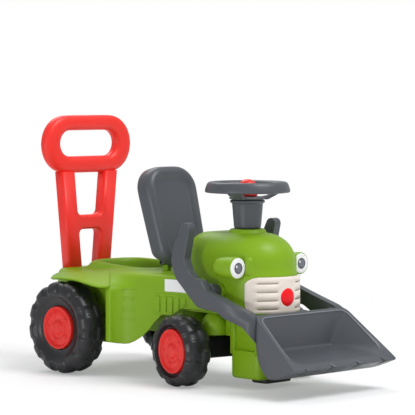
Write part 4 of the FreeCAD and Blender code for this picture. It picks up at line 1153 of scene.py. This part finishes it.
piece(bucketSkin(), "bucket", *greyLoader, ["bucket"], levels=2)
# the bead is real, but its lighter grey is a painted highlight along the rim
piece(bucketBead(), "bucketBead", *greyLoader, levels=1, finish="bead_painted_highlight")
print("bucket made")


# stage, light and camera

view = {
    "place": at(3065.947, -2776.349, 523.846), "yaw": 45.606, "pitch": 3.0929, "sensor": 36, "far": 100,
    "focalPixels": 2193.736, "widePixels": 415,
}
yaw, pitch = radians(view["yaw"]), radians(view["pitch"])
backward = Vector((sin(yaw) * cos(pitch), -cos(yaw) * cos(pitch), sin(pitch)))


def aimed(name, data, place, direction):  # a camera or a light that looks that way
    obj = linked(name, data)
    obj.location = place
    obj.rotation_euler = direction.to_track_quat("-Z", "Y").to_euler()
    return obj


lens = bpy.data.cameras.new("camera")
lens.sensor_width = view["sensor"]
lens.lens = view["focalPixels"] / view["widePixels"] * view["sensor"]
lens.clip_end = view["far"]
scene.camera = aimed("camera", lens, view["place"], -backward)

light = {"keyLight": {"place": (-1.6, 0.7, 2.4), "target": (0, 0, 0.2), "size": 1.8, "power": 24},
         "topLight": {"place": (1.5, 0.4, 2.6), "target": (0.1, 0, 0.2), "size": 1.6, "power": 54},
         "fillLight": {"place": (0.4, -3.3, 0.28), "target": (0, 0, 0.15), "size": 0.5, "power": 20}}


def softBox(name, place, target, size, power):
    source = bpy.data.lights.new(name, "AREA")
    source.shape = "DISK"
    source.size = size
    source.energy = power
    aimed(name, source, place, Vector(target) - Vector(place))


for name, settings in light.items():
    softBox(name, **settings)

stage = {"floor": 40, "paper": (0.9, 0.9, 0.9, 1), "roughness": 0.9, "specular": 0.1, "glow": 0.3,
         "fadeFrom": 0.7, "fadeTo": 1.8, "sky": 0.56, "skyColour": (0.95, 0.97, 1.0, 1),
         "white": (1, 1, 1, 1)}


def whitePaper():  # paper that glows more further out, so that no horizon shows
    mat, tree, shader = newMaterial("white paper")
    shader.inputs["Base Color"].default_value = stage["paper"]
    shader.inputs["Roughness"].default_value = stage["roughness"]
    shader.inputs["Specular IOR Level"].default_value = stage["specular"]
    glow = nodeOf(tree, "Emission", {"Color": stage["white"]})
    reach = nodeOf(tree, "VectorMath", {})
    reach.operation = "LENGTH"
    wired(nodeOf(tree, "TexCoord", {}), "Object", reach, 0)
    fade = nodeOf(tree, "MapRange", {"From Min": stage["fadeFrom"], "From Max": stage["fadeTo"],
                                     "To Min": stage["glow"]})
    fade.interpolation_type = "SMOOTHSTEP"
    wired(reach, "Value", fade, "Value")
    seen = nodeOf(tree, "Math", {})
    seen.operation = "MULTIPLY"
    wired(fade, "Result", seen, 0)
    wired(nodeOf(tree, "LightPath", {}), "Is Camera Ray", seen, 1)
    mix = nodeOf(tree, "MixShader", {})
    wired(seen, "Value", mix, 0)
    wired(shader, "BSDF", mix, 1)
    wired(glow, "Emission", mix, 2)
    wired(mix, "Shader", tree.nodes["Material Output"], "Surface")
    return mat


def studioWorld():  # a pale sky that the camera sees as white
    world = bpy.data.worlds.new("studio")
    world.use_nodes = True
    tree = world.node_tree
    sky = tree.nodes["Background"]
    sky.inputs["Color"].default_value = stage["skyColour"]
    sky.inputs["Strength"].default_value = stage["sky"]
    mix = nodeOf(tree, "MixShader", {})
    wired(nodeOf(tree, "LightPath", {}), "Is Camera Ray", mix, 0)
    wired(sky, "Background", mix, 1)
    wired(nodeOf(tree, "Background", {"Color": stage["white"]}), "Background", mix, 2)
    wired(mix, "Shader", tree.nodes["World Output"], "Surface")
    return world


floorMesh = bmesh.new()
bmesh.ops.create_grid(floorMesh, x_segments=1, y_segments=1, size=stage["floor"])
floor = meshObject(floorMesh, "floor", whitePaper())
scene.world = studioWorld()
scene.view_settings.view_transform = "Standard"
print("stage set")
